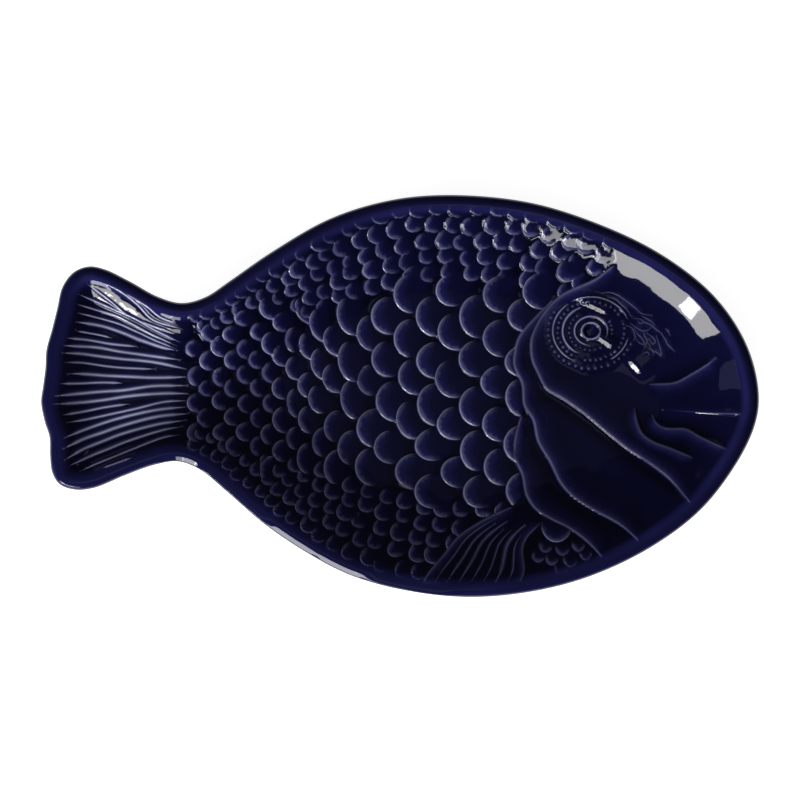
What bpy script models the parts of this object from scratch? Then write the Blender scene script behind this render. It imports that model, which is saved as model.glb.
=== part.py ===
"""Deep serving dish in the shape of a fish: a moulded stoneware body under a glossy glaze.

Metres. +X runs from the tail to the head, +Y to the fish's back and +Z up from the table.
The origin lies under the middle of the dish, on the plane that the foot ring stands on.
"""

import math

import bmesh
import bpy
import numpy as np
from mathutils import geometry

# Section of the dish: a lip that falls off outside its crest, a rounded shoulder, then the hollow with the relief
FOOT_HEIGHT = 0.004
FLOOR_THICKNESS = 0.0055
LIP_WIDTH = 0.0034
LIP_FALL = 0.0024
LIP_EDGE = 0.003
LIP_ROWS = ((0.65, 0.23), (1.0, 0.0))
SHOULDER = 0.004
SHOULDER_ROWS = (0.5, 1.1)
BODY_HOLLOW_DEPTH = 0.0225
TAIL_HOLLOW_DEPTH = 0.0115
BODY_HOLLOW_RUN = 0.060
TAIL_HOLLOW_RUN = 0.024
HOLLOW_CURVE = 2.6
RAMP_TAIL_X = -0.120
RAMP_BODY_X = -0.055

# Glaze, and the gap kept between it and the clay
GLAZE_THICKNESS = 0.0005
GLAZE_GAP = 0.0003
GLAZE_STOP = 0.0018
COAT = GLAZE_GAP + GLAZE_THICKNESS
CLAY_TOP = FOOT_HEIGHT + FLOOR_THICKNESS + BODY_HOLLOW_DEPTH
LIP_LOW = CLAY_TOP - LIP_FALL - LIP_EDGE
RELIEF_EDGE = LIP_WIDTH + SHOULDER_ROWS[-1] * SHOULDER

# Foot ring: an oval on the middle of its standing face
FOOT_X = 0.042
FOOT_Y = 0.0
FOOT_LENGTH = 0.170
FOOT_BREADTH = 0.096
FOOT_WIDTH = 0.005
FOOT_DRAFT = 0.0012
FOOT_SIDES = 44

# Silhouette of the rim from above, from the snout over the back to the tail and home along the belly
OUTLINE = [
    (0.1755, -0.0020), (0.1726, 0.0166), (0.1647, 0.0342), (0.1508, 0.0518), (0.1271, 0.0697),
    (0.0978, 0.0839), (0.0635, 0.0946), (0.0244, 0.0983), (-0.0049, 0.0957), (-0.0342, 0.0867),
    (-0.0635, 0.0699), (-0.0831, 0.0563), (-0.0953, 0.0483), (-0.1066, 0.0455), (-0.1183, 0.0486),
    (-0.1320, 0.0561), (-0.1442, 0.0620), (-0.1520, 0.0634), (-0.1594, 0.0606), (-0.1650, 0.0533),
    (-0.1675, 0.0430), (-0.1701, 0.0325), (-0.1728, 0.0225), (-0.1733, 0.0137), (-0.1745, 0.0044),
    (-0.1754, -0.0029), (-0.1736, -0.0127), (-0.1713, -0.0200), (-0.1710, -0.0293), (-0.1699, -0.0376),
    (-0.1662, -0.0433), (-0.1584, -0.0459), (-0.1491, -0.0449), (-0.1344, -0.0389), (-0.1198, -0.0337),
    (-0.1085, -0.0320), (-0.0978, -0.0360), (-0.0841, -0.0472), (-0.0660, -0.0628), (-0.0440, -0.0775),
    (-0.0244, -0.0875), (0.0, -0.0945), (0.0318, -0.0983), (0.0635, -0.0958), (0.0929, -0.0882),
    (0.1222, -0.0743), (0.1466, -0.0561), (0.1638, -0.0342), (0.1730, -0.0158),
]
RIM_POINTS_PER_SPAN = 2
FINE_POINTS_PER_SPAN = 8

# Gill covers: each edge runs from the back to the belly and steps down towards the tail
CHEEK_EDGE = [
    (0.1036, 0.0631), (0.0807, 0.0503), (0.0679, 0.0362), (0.0645, 0.0240), (0.0679, 0.0112),
    (0.0807, -0.0015), (0.0992, -0.0156), (0.1222, -0.0328), (0.1320, -0.0406), (0.1413, -0.0518),
]
GILL_EDGE = [
    (0.0735, 0.0452), (0.0620, 0.0340), (0.0562, 0.0180), (0.0601, 0.0059), (0.0611, -0.0044),
    (0.0679, -0.0220), (0.0792, -0.0430), (0.0948, -0.0557), (0.1080, -0.0631), (0.1163, -0.0704),
]
THROAT_EDGE = [
    (0.0596, -0.0098), (0.0562, -0.0250), (0.0601, -0.0386), (0.0621, -0.0484), (0.0748, -0.0606),
    (0.0914, -0.0709), (0.0987, -0.0787),
]
GILL_STEP = 0.0014
GILL_STEP_RUN = 0.0016

# Eye: radius and height of each raised or sunken ring
EYE_X = 0.0921
EYE_Y = 0.0323
EYE_RINGS = [
    (0.0026, 0.0006), (0.0049, 0.0024), (0.0080, 0.0014), (0.0128, 0.0026), (0.0165, 0.0016), (0.0188, 0.0),
]
EYE_PUPIL_HEIGHT = 0.0004
EYE_INNER_SIDES = 8
EYE_ADDED_SIDES = 2

# Mouth folds: each ridge has a groove below it
MOUTH_FOLDS = [
    [(0.1232, 0.0059), (0.1354, 0.0068), (0.1422, 0.0103), (0.1501, 0.0152), (0.1564, 0.0205)],
    [(0.1271, -0.0068), (0.1466, -0.0073), (0.1660, -0.0085)],
    [(0.1242, -0.0093), (0.1305, -0.0156), (0.1403, -0.0161), (0.1535, -0.0230), (0.1600, -0.0260)],
    [(0.1154, -0.0064), (0.1193, -0.0186), (0.1325, -0.0254), (0.1427, -0.0298)],
]
FOLD_HEIGHT = 0.0012
FOLD_GROOVE = 0.0007
FOLD_RUN = 0.0020

# Pectoral fin between its upper and its rear edge, both from the root to the rim
FIN_UPPER = [(0.0543, -0.0547), (0.0425, -0.0601), (0.0288, -0.0689), (0.0215, -0.0777), (0.0160, -0.0840)]
FIN_REAR = [(0.0684, -0.0631), (0.0626, -0.0689), (0.0601, -0.0743), (0.0606, -0.0800), (0.0600, -0.0850)]
FIN_RAYS = 7
FIN_HEIGHT = 0.0012
FIN_RAY_HEIGHT = 0.0010
FIN_RAY_GROOVE = 0.0002

# Tail rays: from the root of the tail to its end
TAIL_ROOT_X = -0.1041
TAIL_ROOT_HIGH = 0.033
TAIL_ROOT_LOW = -0.022
TAIL_TIP_HIGH = 0.048
TAIL_TIP_LOW = -0.036
TAIL_TIP_MARGIN = 0.0085
TAIL_RAYS = 16
TAIL_RAY_HEIGHT = 0.0009
TAIL_RAY_GROOVE = 0.0003
TAIL_RAY_POINTS = 5
TAIL_RAY_FADE = 0.05
TAIL_END_POINTS = 4

# Scales: columns run across the fish, each set half a scale off the last, with the widest scales mid-body
SCALE_MIDDLE_Y = -0.004
SCALE_PITCH_TAIL = 0.0118
SCALE_PITCH_BODY = 0.0208
SCALE_PITCH_EDGE = 0.0086
SCALE_BAND_TAIL = 0.022
SCALE_BAND_BODY = 0.046
SCALE_BAND_CURVE = 3
SCALE_PITCH_TAIL_X = -0.080
SCALE_PITCH_BODY_X = -0.018
SCALE_STEP_TAIL = 0.0058
SCALE_STEP_BODY = 0.0110
SCALE_STEP_TAIL_X = -0.058
SCALE_STEP_BODY_X = 0.004
SCALE_RIM_MARGIN = 0.0020
SCALE_EDGE_MARGIN = 0.0038
SCALE_HEIGHT_LARGE = 0.0012
SCALE_HEIGHT_SMALL = 0.0008
SCALE_FOOT_RUN = 0.0010
SCALE_FOOT_DEPTH = 0.0002
SCALE_SIDE_BACK = 0.23
SCALE_SIDE_OUT = 0.30
SCALE_SAMPLES = 400

# Rows and plain points of the meshes
WALL_ROWS = (0.09, 0.24, 0.45, 0.7)
ROW_KEEP = 0.97
TOP_SPACING = 0.011
UNDER_SPACING = 0.016
PLAIN_ROOM = 0.62
UNDER_ROOM = 0.5
CLOSEST = 0.0009
WELD = 1e-6
SHARP_ANGLE = math.radians(40)

# Plain colours and shine of the two materials
CLAY_COLOUR = (0.55, 0.47, 0.38)
CLAY_ROUGHNESS = 0.75
GLAZE_COLOUR = (0.012, 0.016, 0.11)
GLAZE_ROUGHNESS = 0.08


def clear_scene():
    for thing in list(bpy.data.objects):
        bpy.data.objects.remove(thing, do_unlink=True)


def smooth_step(value, low, high):
    """0 below low, 1 above high, eased between them."""
    share = np.clip((value - low) / (high - low), 0.0, 1.0)
    return share * share * (3.0 - 2.0 * share)


def closed_spline(points, per_span):
    """Centripetal curve through a ring of points."""
    ring = np.array(points, float)
    count = len(ring)
    shares = np.arange(per_span)[:, None] / per_span
    spans = []
    for index in range(count):
        corners = [ring[(index + step) % count] for step in (-1, 0, 1, 2)]
        knots = [0.0]
        for start, end in zip(corners, corners[1:]):
            knots.append(knots[-1] + math.sqrt(np.linalg.norm(end - start)))
        where = knots[1] + (knots[2] - knots[1]) * shares

        def between(first, second, low, high):
            return (first * (high - where) + second * (where - low)) / (high - low)

        lines = [between(corners[i], corners[i + 1], knots[i], knots[i + 1]) for i in range(3)]
        bends = [between(lines[i], lines[i + 1], knots[i], knots[i + 2]) for i in range(2)]
        spans.append(between(bends[0], bends[1], knots[1], knots[2]))
    return np.vstack(spans)


def moved_in(ring, distance):
    """A counter-clockwise ring moved towards its inside."""
    along = np.roll(ring, -1, axis=0) - np.roll(ring, 1, axis=0)
    along /= np.linalg.norm(along, axis=1)[:, None]
    return ring + distance * np.column_stack([-along[:, 1], along[:, 0]])


def beside(line, distance):
    """An open line moved to the left of its direction."""
    line = np.array(line, float)
    along = np.gradient(line, axis=0)
    along /= np.linalg.norm(along, axis=1)[:, None]
    return line + distance * np.column_stack([-along[:, 1], along[:, 0]])


def centred_outline(per_span):
    ring = closed_spline(OUTLINE, per_span)
    return ring - (ring.min(axis=0) + ring.max(axis=0)) / 2


FINE_RIM = moved_in(centred_outline(FINE_POINTS_PER_SPAN), COAT)


def rim_distance(points):
    """Distance of each point inside the clay's silhouette, negative outside it."""
    points = np.atleast_2d(points)
    starts = FINE_RIM
    runs = np.roll(FINE_RIM, -1, axis=0) - starts
    offsets = points[:, None, :] - starts[None]
    shares = np.clip((offsets * runs).sum(2) / (runs * runs).sum(1), 0.0, 1.0)
    nearest = np.linalg.norm(offsets - shares[..., None] * runs[None], axis=2).min(axis=1)
    ends = starts + runs
    rises = (starts[None, :, 1] > points[:, None, 1]) != (ends[None, :, 1] > points[:, None, 1])
    drop = np.where(runs[:, 1] == 0.0, 1.0, runs[:, 1])
    crossing = starts[:, 0] + (points[:, None, 1] - starts[:, 1]) / drop * runs[:, 0]
    inside = (rises & (points[:, None, 0] < crossing)).sum(axis=1) % 2 == 1
    return np.where(inside, nearest, -nearest)


def hollow(points):
    """Depth of the hollow below the lip, and the plan width of its curved side, at each point."""
    ramp = smooth_step(np.atleast_2d(points)[:, 0], RAMP_TAIL_X, RAMP_BODY_X)
    depth = TAIL_HOLLOW_DEPTH + (BODY_HOLLOW_DEPTH - TAIL_HOLLOW_DEPTH) * ramp
    run = TAIL_HOLLOW_RUN + (BODY_HOLLOW_RUN - TAIL_HOLLOW_RUN) * ramp
    return depth, run


def bowl(distance, run):
    """Share of a bowl's depth that is reached at a distance in from its edge."""
    return 1.0 - (1.0 - np.clip(distance / run, 0.0, 1.0)) ** HOLLOW_CURVE


def past_shoulder(distance):
    """Distance past a rounded shoulder, which starts level and then runs on evenly."""
    return np.hypot(np.clip(distance, 0.0, None), SHOULDER) - SHOULDER


def inside_height(points):
    depth, run = hollow(points)
    return CLAY_TOP - depth * bowl(past_shoulder(rim_distance(points) - LIP_WIDTH), run)


def underside_height(points):
    depth, run = hollow(points)
    drop = depth + FLOOR_THICKNESS - LIP_FALL - LIP_EDGE
    return LIP_LOW - drop * bowl(past_shoulder(rim_distance(points)), run)


def scale_pitch(x, y):
    """Distance between two scales of one column, at a place."""
    growth = smooth_step(x, SCALE_PITCH_TAIL_X, SCALE_PITCH_BODY_X)
    middle = SCALE_PITCH_TAIL + (SCALE_PITCH_BODY - SCALE_PITCH_TAIL) * growth
    band = SCALE_BAND_TAIL + (SCALE_BAND_BODY - SCALE_BAND_TAIL) * growth
    nearness = np.exp(-np.abs((y - SCALE_MIDDLE_Y) / band) ** SCALE_BAND_CURVE)
    return SCALE_PITCH_EDGE + (middle - SCALE_PITCH_EDGE) * nearness


def scale_step(x):
    """Distance from one column of scales to the next."""
    growth = smooth_step(x, SCALE_STEP_TAIL_X, SCALE_STEP_BODY_X)
    return SCALE_STEP_TAIL + (SCALE_STEP_BODY - SCALE_STEP_TAIL) * growth


def scale_count(x, across):
    """Scales between the middle line and each place across the fish."""
    steps = np.diff(across) / scale_pitch(x, (across[1:] + across[:-1]) / 2)
    count = np.concatenate([[0.0], np.cumsum(steps)])
    return count - np.interp(SCALE_MIDDLE_Y, across, count)


def scale_edge_x(y):
    """Where the scales end at the gill covers and at the fin."""
    edge = CHEEK_EDGE[:2] + GILL_EDGE[:5] + THROAT_EDGE[1:4] + FIN_UPPER
    heights = np.array([point[1] for point in edge])
    places = np.array([point[0] for point in edge])
    return np.interp(y, heights[::-1], places[::-1])


def scale_tips():
    """(x, y, pitch, step, turn) at the free end of every scale clear of the rim, the gills and the fin."""
    across = np.linspace(FINE_RIM[:, 1].min(), FINE_RIM[:, 1].max(), SCALE_SAMPLES)
    tips = []
    column = 0
    x = TAIL_ROOT_X
    while x < CHEEK_EDGE[0][0]:
        count = scale_count(x, across)
        step = scale_step(x)
        places = np.arange(math.ceil(count[0]), count[-1]) + 0.5 * (column % 2)
        rows = np.interp(places, count, across)
        turns = np.arctan2(np.interp(places, scale_count(x + step, across), across) - rows, step)
        tips += [(x, y, scale_pitch(x, y), step, turn) for y, turn in zip(rows, turns)]
        x += step
        column += 1
    tips = np.array(tips)
    clear = rim_distance(tips[:, :2]) > RELIEF_EDGE + SCALE_RIM_MARGIN
    behind = tips[:, 0] < scale_edge_x(tips[:, 1]) - SCALE_EDGE_MARGIN
    return tips[clear & behind]


class Relief:
    """Points of the inside, each with its height above the plain hollow, and lines that join some of them."""

    def __init__(self, margin):
        self.margin = margin
        self.points = []
        self.heights = []
        self.lines = []

    def room(self, point, closest):
        if not self.points:
            return True
        gaps = np.array(self.points) - point
        return (gaps * gaps).sum(axis=1).min() > closest * closest

    def add(self, point, height, closest=CLOSEST):
        if rim_distance(point)[0] < self.margin or not self.room(point, closest):
            return None
        self.points.append(np.array(point, float))
        self.heights.append(height)
        return len(self.points) - 1

    def add_line(self, points, height, closed=False):
        heights = np.broadcast_to(height, len(points))
        made = [self.add(point, rise) for point, rise in zip(points, heights)]
        pairs = list(zip(made, made[1:] + made[:1] if closed else made[1:]))
        self.lines += [pair for pair in pairs if None not in pair]


def rim_row(distances, closest):
    """Points at given distances in from the rim, one for each point of the rim, where there is room."""
    rim = moved_in(centred_outline(RIM_POINTS_PER_SPAN), COAT)
    row = moved_in(rim, np.reshape(distances, (-1, 1)))
    kept = []
    for point, distance, found in zip(row, np.broadcast_to(distances, len(row)), rim_distance(row)):
        apart = not kept or np.linalg.norm(np.array(kept) - point, axis=1).min() > closest
        if apart and found > ROW_KEEP * distance:
            kept.append(point)
    return kept


def add_shoulder(relief):
    for share in SHOULDER_ROWS:
        relief.add_line(rim_row(LIP_WIDTH + share * SHOULDER, CLOSEST), 0.0, closed=True)


def add_eye(relief):
    centre = np.array([EYE_X, EYE_Y])
    relief.add(centre, EYE_PUPIL_HEIGHT)
    for number, (radius, height) in enumerate(EYE_RINGS):
        sides = EYE_INNER_SIDES + EYE_ADDED_SIDES * number
        angles = 2 * math.pi * (np.arange(sides) + 0.5 * (number % 2)) / sides
        circle = centre + radius * np.column_stack([np.cos(angles), np.sin(angles)])
        relief.add_line(circle, height, closed=True)


def add_gills(relief):
    for edge in (CHEEK_EDGE, GILL_EDGE, THROAT_EDGE):
        relief.add_line(beside(edge, GILL_STEP_RUN / 2), GILL_STEP)
        relief.add_line(beside(edge, -GILL_STEP_RUN / 2), 0.0)


def add_mouth(relief):
    for fold in MOUTH_FOLDS:
        relief.add_line(fold, FOLD_HEIGHT)
        relief.add_line(beside(fold, -FOLD_RUN), -FOLD_GROOVE)


def add_fin(relief):
    upper = np.array(FIN_UPPER)
    rear = np.array(FIN_REAR)
    relief.add_line(beside(upper, -SCALE_FOOT_RUN), 0.0)
    for ray in range(FIN_RAYS + 1):
        share = ray / FIN_RAYS
        line = upper + (rear - upper) * share
        relief.add_line(line, FIN_HEIGHT if ray in (0, FIN_RAYS) else FIN_RAY_HEIGHT)
        if ray < FIN_RAYS:
            groove = upper + (rear - upper) * (share + 0.5 / FIN_RAYS)
            relief.add_line(groove[1:], -FIN_RAY_GROOVE)
    relief.add_line(beside(rear, SCALE_FOOT_RUN), 0.0)


def tail_end_x(y):
    """The tail's end at a height on its fan."""
    ends = FINE_RIM[FINE_RIM[:, 0] < TAIL_ROOT_X]
    nearest = np.abs(ends[:, 1] - y).argsort()[:TAIL_END_POINTS]
    return ends[nearest, 0].min()


def add_tail(relief):
    for half in range(2 * TAIL_RAYS - 1):
        share = half / (2 * TAIL_RAYS - 2)
        tip_y = TAIL_TIP_HIGH + (TAIL_TIP_LOW - TAIL_TIP_HIGH) * share
        root_y = TAIL_ROOT_HIGH + (TAIL_ROOT_LOW - TAIL_ROOT_HIGH) * share
        tip = np.array([tail_end_x(tip_y) + TAIL_TIP_MARGIN, tip_y])
        root = np.array([TAIL_ROOT_X, root_y])
        stops = np.linspace(0.0, 1.0, TAIL_RAY_POINTS)
        fade = np.sqrt(np.sin(math.pi * np.clip(stops, TAIL_RAY_FADE, 1.0 - TAIL_RAY_FADE)))
        rise = -TAIL_RAY_GROOVE if half % 2 else TAIL_RAY_HEIGHT
        relief.add_line(tip + (root - tip) * stops[:, None], rise * fade)


def add_scales(relief):
    """Each scale has a raised free edge of three points and a foot before its tip."""
    for x, y, pitch, step, turn in scale_tips():
        size = (pitch - SCALE_PITCH_EDGE) / (SCALE_PITCH_BODY - SCALE_PITCH_EDGE)
        height = SCALE_HEIGHT_SMALL + (SCALE_HEIGHT_LARGE - SCALE_HEIGHT_SMALL) * size
        ahead = np.array([math.cos(turn), math.sin(turn)])
        aside = np.array([-math.sin(turn), math.cos(turn)])
        tip = np.array([x, y])
        relief.add(tip, height)
        relief.add(tip - SCALE_FOOT_RUN * ahead, -SCALE_FOOT_DEPTH)
        for side in (-1, 1):
            corner = tip + SCALE_SIDE_BACK * step * ahead + SCALE_SIDE_OUT * side * pitch * aside
            relief.add(corner, height)


def hex_grid(spacing):
    """Points over the dish's plan in staggered rows."""
    low = FINE_RIM.min(axis=0)
    high = FINE_RIM.max(axis=0)
    rows = np.arange(low[1], high[1], spacing * math.sin(math.radians(60)))
    return [
        (x, y)
        for number, y in enumerate(rows)
        for x in np.arange(low[0] + 0.5 * spacing * (number % 2), high[0], spacing)
    ]


def add_plain(relief, spacing):
    for point in hex_grid(spacing):
        relief.add(point, 0.0, PLAIN_ROOM * spacing)


def triangulated(points, lines):
    """Triangles over points in plan, with the lines kept as edges: (points, source of each, triangles)."""
    plan = [tuple(point) for point in points]
    made, _, faces, sources, _, _ = geometry.delaunay_2d_cdt(plan, lines, [], 1, WELD)
    sources = [found[0] if found else None for found in sources]
    return np.array([tuple(point) for point in made]), sources, faces


class Shell:
    """Points and faces of the clay, each point with the zone of the underside that it belongs to."""

    def __init__(self):
        self.points = []
        self.zones = []
        self.faces = []

    def add_points(self, plan, heights, zone):
        first = len(self.points)
        self.points += [(x, y, z) for (x, y), z in zip(plan, heights)]
        self.zones += [zone] * len(plan)
        return list(range(first, len(self.points)))

    def add_band(self, lower, upper):
        """Quads between two counter-clockwise rings, facing out."""
        count = len(lower)
        for index in range(count):
            after = (index + 1) % count
            self.faces.append((lower[index], lower[after], upper[after], upper[index]))

    def add_sheet(self, rings, loose, lines, height_at, face_up):
        """Triangles inside the first ring, over the other rings and the loose points, given as numbers."""
        numbers = [number for ring in rings for number in ring] + loose
        plan = [self.points[number][:2] for number in numbers]
        place = {number: index for index, number in enumerate(numbers)}
        edges = [(place[a], place[b]) for ring in rings for a, b in zip(ring, ring[1:] + ring[:1])]
        edges += [(place[a], place[b]) for a, b in lines]
        made, sources, faces = triangulated(plan, edges)
        final = []
        for point, source in zip(made, sources):
            if source is None:
                final += self.add_points([point], height_at([point]), OUTER_WALL)
            else:
                final.append(numbers[source])
        for face in faces:
            corners = [final[index] for index in face]
            self.faces.append(tuple(corners if face_up else corners[::-1]))


# Zones of the underside, from the outer wall over the foot ring to the panel inside it
OUTER_WALL, OUTER_STOP, STANDING, INNER_STOP, PANEL = range(5)


def foot_ring(distance):
    """The oval of the foot ring, moved outwards."""
    angles = 2 * math.pi * np.arange(FOOT_SIDES) / FOOT_SIDES
    oval = np.column_stack([
        FOOT_X + FOOT_LENGTH / 2 * np.cos(angles),
        FOOT_Y + FOOT_BREADTH / 2 * np.sin(angles),
    ])
    return moved_in(oval, -distance)


def foot_loops():
    """(ring, heights, zone) from the outside of the foot ring to its inside."""
    half = FOOT_WIDTH / 2
    stop_share = GLAZE_STOP / FOOT_HEIGHT
    loops = []
    for side, stop_zone, panel_zone in ((1, OUTER_STOP, OUTER_WALL), (-1, INNER_STOP, PANEL)):
        top = foot_ring(side * (half + FOOT_DRAFT))
        stop = foot_ring(side * (half + FOOT_DRAFT * stop_share))
        standing = foot_ring(side * half)
        group = [
            (top, underside_height(top), panel_zone),
            (stop, np.full(FOOT_SIDES, GLAZE_STOP), stop_zone),
            (standing, np.zeros(FOOT_SIDES), STANDING),
        ]
        loops += group if side > 0 else group[::-1]
    return loops


def clay_shell():
    shell = Shell()
    rim = moved_in(centred_outline(RIM_POINTS_PER_SPAN), COAT)
    lower = shell.add_points(rim, np.full(len(rim), LIP_LOW), OUTER_WALL)
    previous = shell.add_points(rim, np.full(len(rim), LIP_LOW + LIP_EDGE), OUTER_WALL)
    shell.add_band(lower, previous)
    for width, fall in LIP_ROWS:
        height = CLAY_TOP - fall * LIP_FALL
        ring = shell.add_points(moved_in(rim, width * LIP_WIDTH), np.full(len(rim), height), OUTER_WALL)
        shell.add_band(previous, ring)
        previous = ring

    relief = Relief(LIP_WIDTH + CLOSEST)
    add_shoulder(relief)
    relief.margin = RELIEF_EDGE + CLOSEST
    for add_feature in (add_gills, add_eye, add_mouth, add_fin, add_tail, add_scales):
        add_feature(relief)
    add_plain(relief, TOP_SPACING)
    plan = np.array(relief.points)
    loose = shell.add_points(plan, inside_height(plan) + np.array(relief.heights), OUTER_WALL)
    lines = [(loose[a], loose[b]) for a, b in relief.lines]
    shell.add_sheet([previous], loose, lines, inside_height, True)

    rings = [shell.add_points(ring, heights, zone) for ring, heights, zone in foot_loops()]
    under = under_points()
    inside_foot = inside_oval(under)
    loose = shell.add_points(under[~inside_foot], underside_height(under[~inside_foot]), OUTER_WALL)
    loose += shell.add_points(under[inside_foot], underside_height(under[inside_foot]), PANEL)
    shell.add_sheet([lower] + rings, loose, [], underside_height, False)
    return shell


def inside_oval(points):
    across = (points[:, 0] - FOOT_X) / (FOOT_LENGTH / 2)
    up = (points[:, 1] - FOOT_Y) / (FOOT_BREADTH / 2)
    return across * across + up * up < 1.0


def under_points():
    """Points of the underside: rows down the outer wall, then a plain grid, clear of the foot ring."""
    rim_run = hollow(centred_outline(RIM_POINTS_PER_SPAN))[1]
    plain = Relief(WALL_ROWS[0] * TAIL_HOLLOW_RUN)
    for share in WALL_ROWS:
        for point in rim_row(share * rim_run, UNDER_ROOM * UNDER_SPACING):
            plain.add(point, 0.0)
    add_plain(plain, UNDER_SPACING)
    points = np.array(plain.points)
    foot = foot_ring(0.0)
    gaps = np.linalg.norm(points[:, None] - foot[None], axis=2).min(axis=1)
    return points[gaps > UNDER_ROOM * UNDER_SPACING]


def plain_material(name, colour, roughness):
    material = bpy.data.materials.new(name)
    material.use_nodes = True
    shader = material.node_tree.nodes["Principled BSDF"]
    shader.inputs["Base Color"].default_value = (*colour, 1.0)
    shader.inputs["Roughness"].default_value = roughness
    shader.inputs["Metallic"].default_value = 0.0
    return material


def add_object(name, mesh, material):
    mesh.materials.append(material)
    mesh.shade_smooth()
    mesh.set_sharp_from_angle(angle=SHARP_ANGLE)
    thing = bpy.data.objects.new(name, mesh)
    bpy.context.scene.collection.objects.link(thing)
    return thing


def clay_mesh(shell):
    mesh = bpy.data.meshes.new("clay_body")
    mesh.from_pydata(shell.points, [], shell.faces)
    mesh.validate()
    return mesh


def coat_mesh(name, clay, keeps):
    """An even skin over the chosen faces of the clay, closed along its edge."""
    source = bmesh.new()
    source.from_mesh(clay)
    source.normal_update()
    faces = [face for face in source.faces if keeps(face)]
    chosen = set(faces)
    corners = {vert for face in faces for vert in face.verts}
    skin = bmesh.new()
    inner = {}
    outer = {}
    for vert in sorted(corners, key=lambda vert: vert.index):
        way = vert.normal * vert.calc_shell_factor()
        inner[vert] = skin.verts.new(vert.co + way * GLAZE_GAP)
        outer[vert] = skin.verts.new(vert.co + way * COAT)
    for face in faces:
        skin.faces.new([outer[vert] for vert in face.verts])
        skin.faces.new([inner[vert] for vert in reversed(face.verts)])
    for face in faces:
        for loop in face.loops:
            if any(other not in chosen for other in loop.edge.link_faces):
                start = loop.vert
                end = loop.link_loop_next.vert
                skin.faces.new([outer[end], outer[start], inner[start], inner[end]])
    mesh = bpy.data.meshes.new(name)
    skin.to_mesh(mesh)
    skin.free()
    source.free()
    return mesh


def main():
    clear_scene()
    shell = clay_shell()
    clay = clay_mesh(shell)
    zones = shell.zones
    coat = coat_mesh("glaze_coat", clay, lambda face: max(zones[v.index] for v in face.verts) <= OUTER_STOP)
    base = coat_mesh("base_glaze", clay, lambda face: min(zones[v.index] for v in face.verts) >= INNER_STOP)
    add_object("clay_body", clay, plain_material("stoneware", CLAY_COLOUR, CLAY_ROUGHNESS))
    add_object("glaze_coat", coat, plain_material("cobalt_glaze", GLAZE_COLOUR, GLAZE_ROUGHNESS))
    add_object("base_glaze", base, plain_material("base_glaze", GLAZE_COLOUR, GLAZE_ROUGHNESS))


main()
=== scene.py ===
"""Deep serving dish in the shape of a fish: a pressed relief under a glossy cobalt glaze, on a pale studio floor."""

import math

import bpy
import numpy as np
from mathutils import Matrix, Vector, geometry, kdtree


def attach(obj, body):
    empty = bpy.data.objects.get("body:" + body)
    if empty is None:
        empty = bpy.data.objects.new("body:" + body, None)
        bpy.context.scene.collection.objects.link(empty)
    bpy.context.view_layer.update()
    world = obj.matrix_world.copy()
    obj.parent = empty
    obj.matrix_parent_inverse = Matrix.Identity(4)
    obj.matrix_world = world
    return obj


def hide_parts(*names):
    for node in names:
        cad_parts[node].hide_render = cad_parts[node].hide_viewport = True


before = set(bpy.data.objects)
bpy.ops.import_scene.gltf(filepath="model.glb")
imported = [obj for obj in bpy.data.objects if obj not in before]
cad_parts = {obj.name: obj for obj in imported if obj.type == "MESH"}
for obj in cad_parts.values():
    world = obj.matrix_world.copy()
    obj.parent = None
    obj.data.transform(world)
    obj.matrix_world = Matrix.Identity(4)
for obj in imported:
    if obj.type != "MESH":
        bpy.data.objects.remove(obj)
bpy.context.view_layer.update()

MM = 0.001

# Section of the dish, as in the part
FOOT_HEIGHT = 0.004
FLOOR_THICKNESS = 0.0055
LIP_WIDTH = 0.0034
LIP_FALL = 0.0024
LIP_EDGE = 0.003
SHOULDER = 0.004
BODY_HOLLOW_DEPTH = 0.0225
TAIL_HOLLOW_DEPTH = 0.0115
BODY_HOLLOW_RUN = 0.060
TAIL_HOLLOW_RUN = 0.024
HOLLOW_CURVE = 2.6
RAMP_TAIL_X = -0.120
RAMP_BODY_X = -0.055
GLAZE_THICKNESS = 0.0005
GLAZE_GAP = 0.0003
GLAZE_STOP = 0.0018
COAT = GLAZE_GAP + GLAZE_THICKNESS
CLAY_TOP = FOOT_HEIGHT + FLOOR_THICKNESS + BODY_HOLLOW_DEPTH
GLAZE_TOP = CLAY_TOP + COAT
LIP = LIP_WIDTH + COAT
LIP_LOW = CLAY_TOP - LIP_FALL - LIP_EDGE

# Finer shape of the lip: a round section. Some stretches along the belly, as (middle, reach), slope more evenly, and
# some have a sharper edge.
LIP_HEIGHT = 0.0031
LIP_ROWS = (1.0, 0.975, 0.93, 0.87, 0.80, 0.72, 0.62, 0.50, 0.35, 0.18, 0.0)
LIP_SLOPE = math.tan(math.radians(35.5))
LIP_BEND = 0.45
LIP_EDGE_SHARE = 0.93
LIP_POWER = 2.0
SHARP_LIP_POWER = 5.0
FLAT_LIPS = [((-0.052, -0.071), 0.016), ((-0.030, -0.085), 0.016), ((-0.1075, -0.0325), 0.0105)]
SHARP_LIPS = [
    ((-0.093, -0.040), 0.014), ((-0.080, -0.051), 0.016), ((-0.068, -0.060), 0.012), ((0.004, -0.096), 0.022),
]
EDGE_ROUND = 0.0012
RELIEF_EDGE = LIP + 0.0008
RELIEF_RISE = 0.002

# Foot ring, with the glaze stopping on its sides in a small bead, as (bulge, height)
FOOT_X = 0.042
FOOT_Y = 0.0
FOOT_LENGTH = 0.170
FOOT_BREADTH = 0.096
FOOT_WIDTH = 0.005
FOOT_DRAFT = 0.0012
FOOT_SIDES = 160
FOOT_BEVEL = 0.0006
FOOT_CLEARANCE = 0.003
UNDER_EDGE = 0.0006
FOOT_FILLET = 0.0013
FOOT_FILLET_BEND = 0.0004
GLAZE_BEAD = (0.0001, 0.0003)

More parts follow.
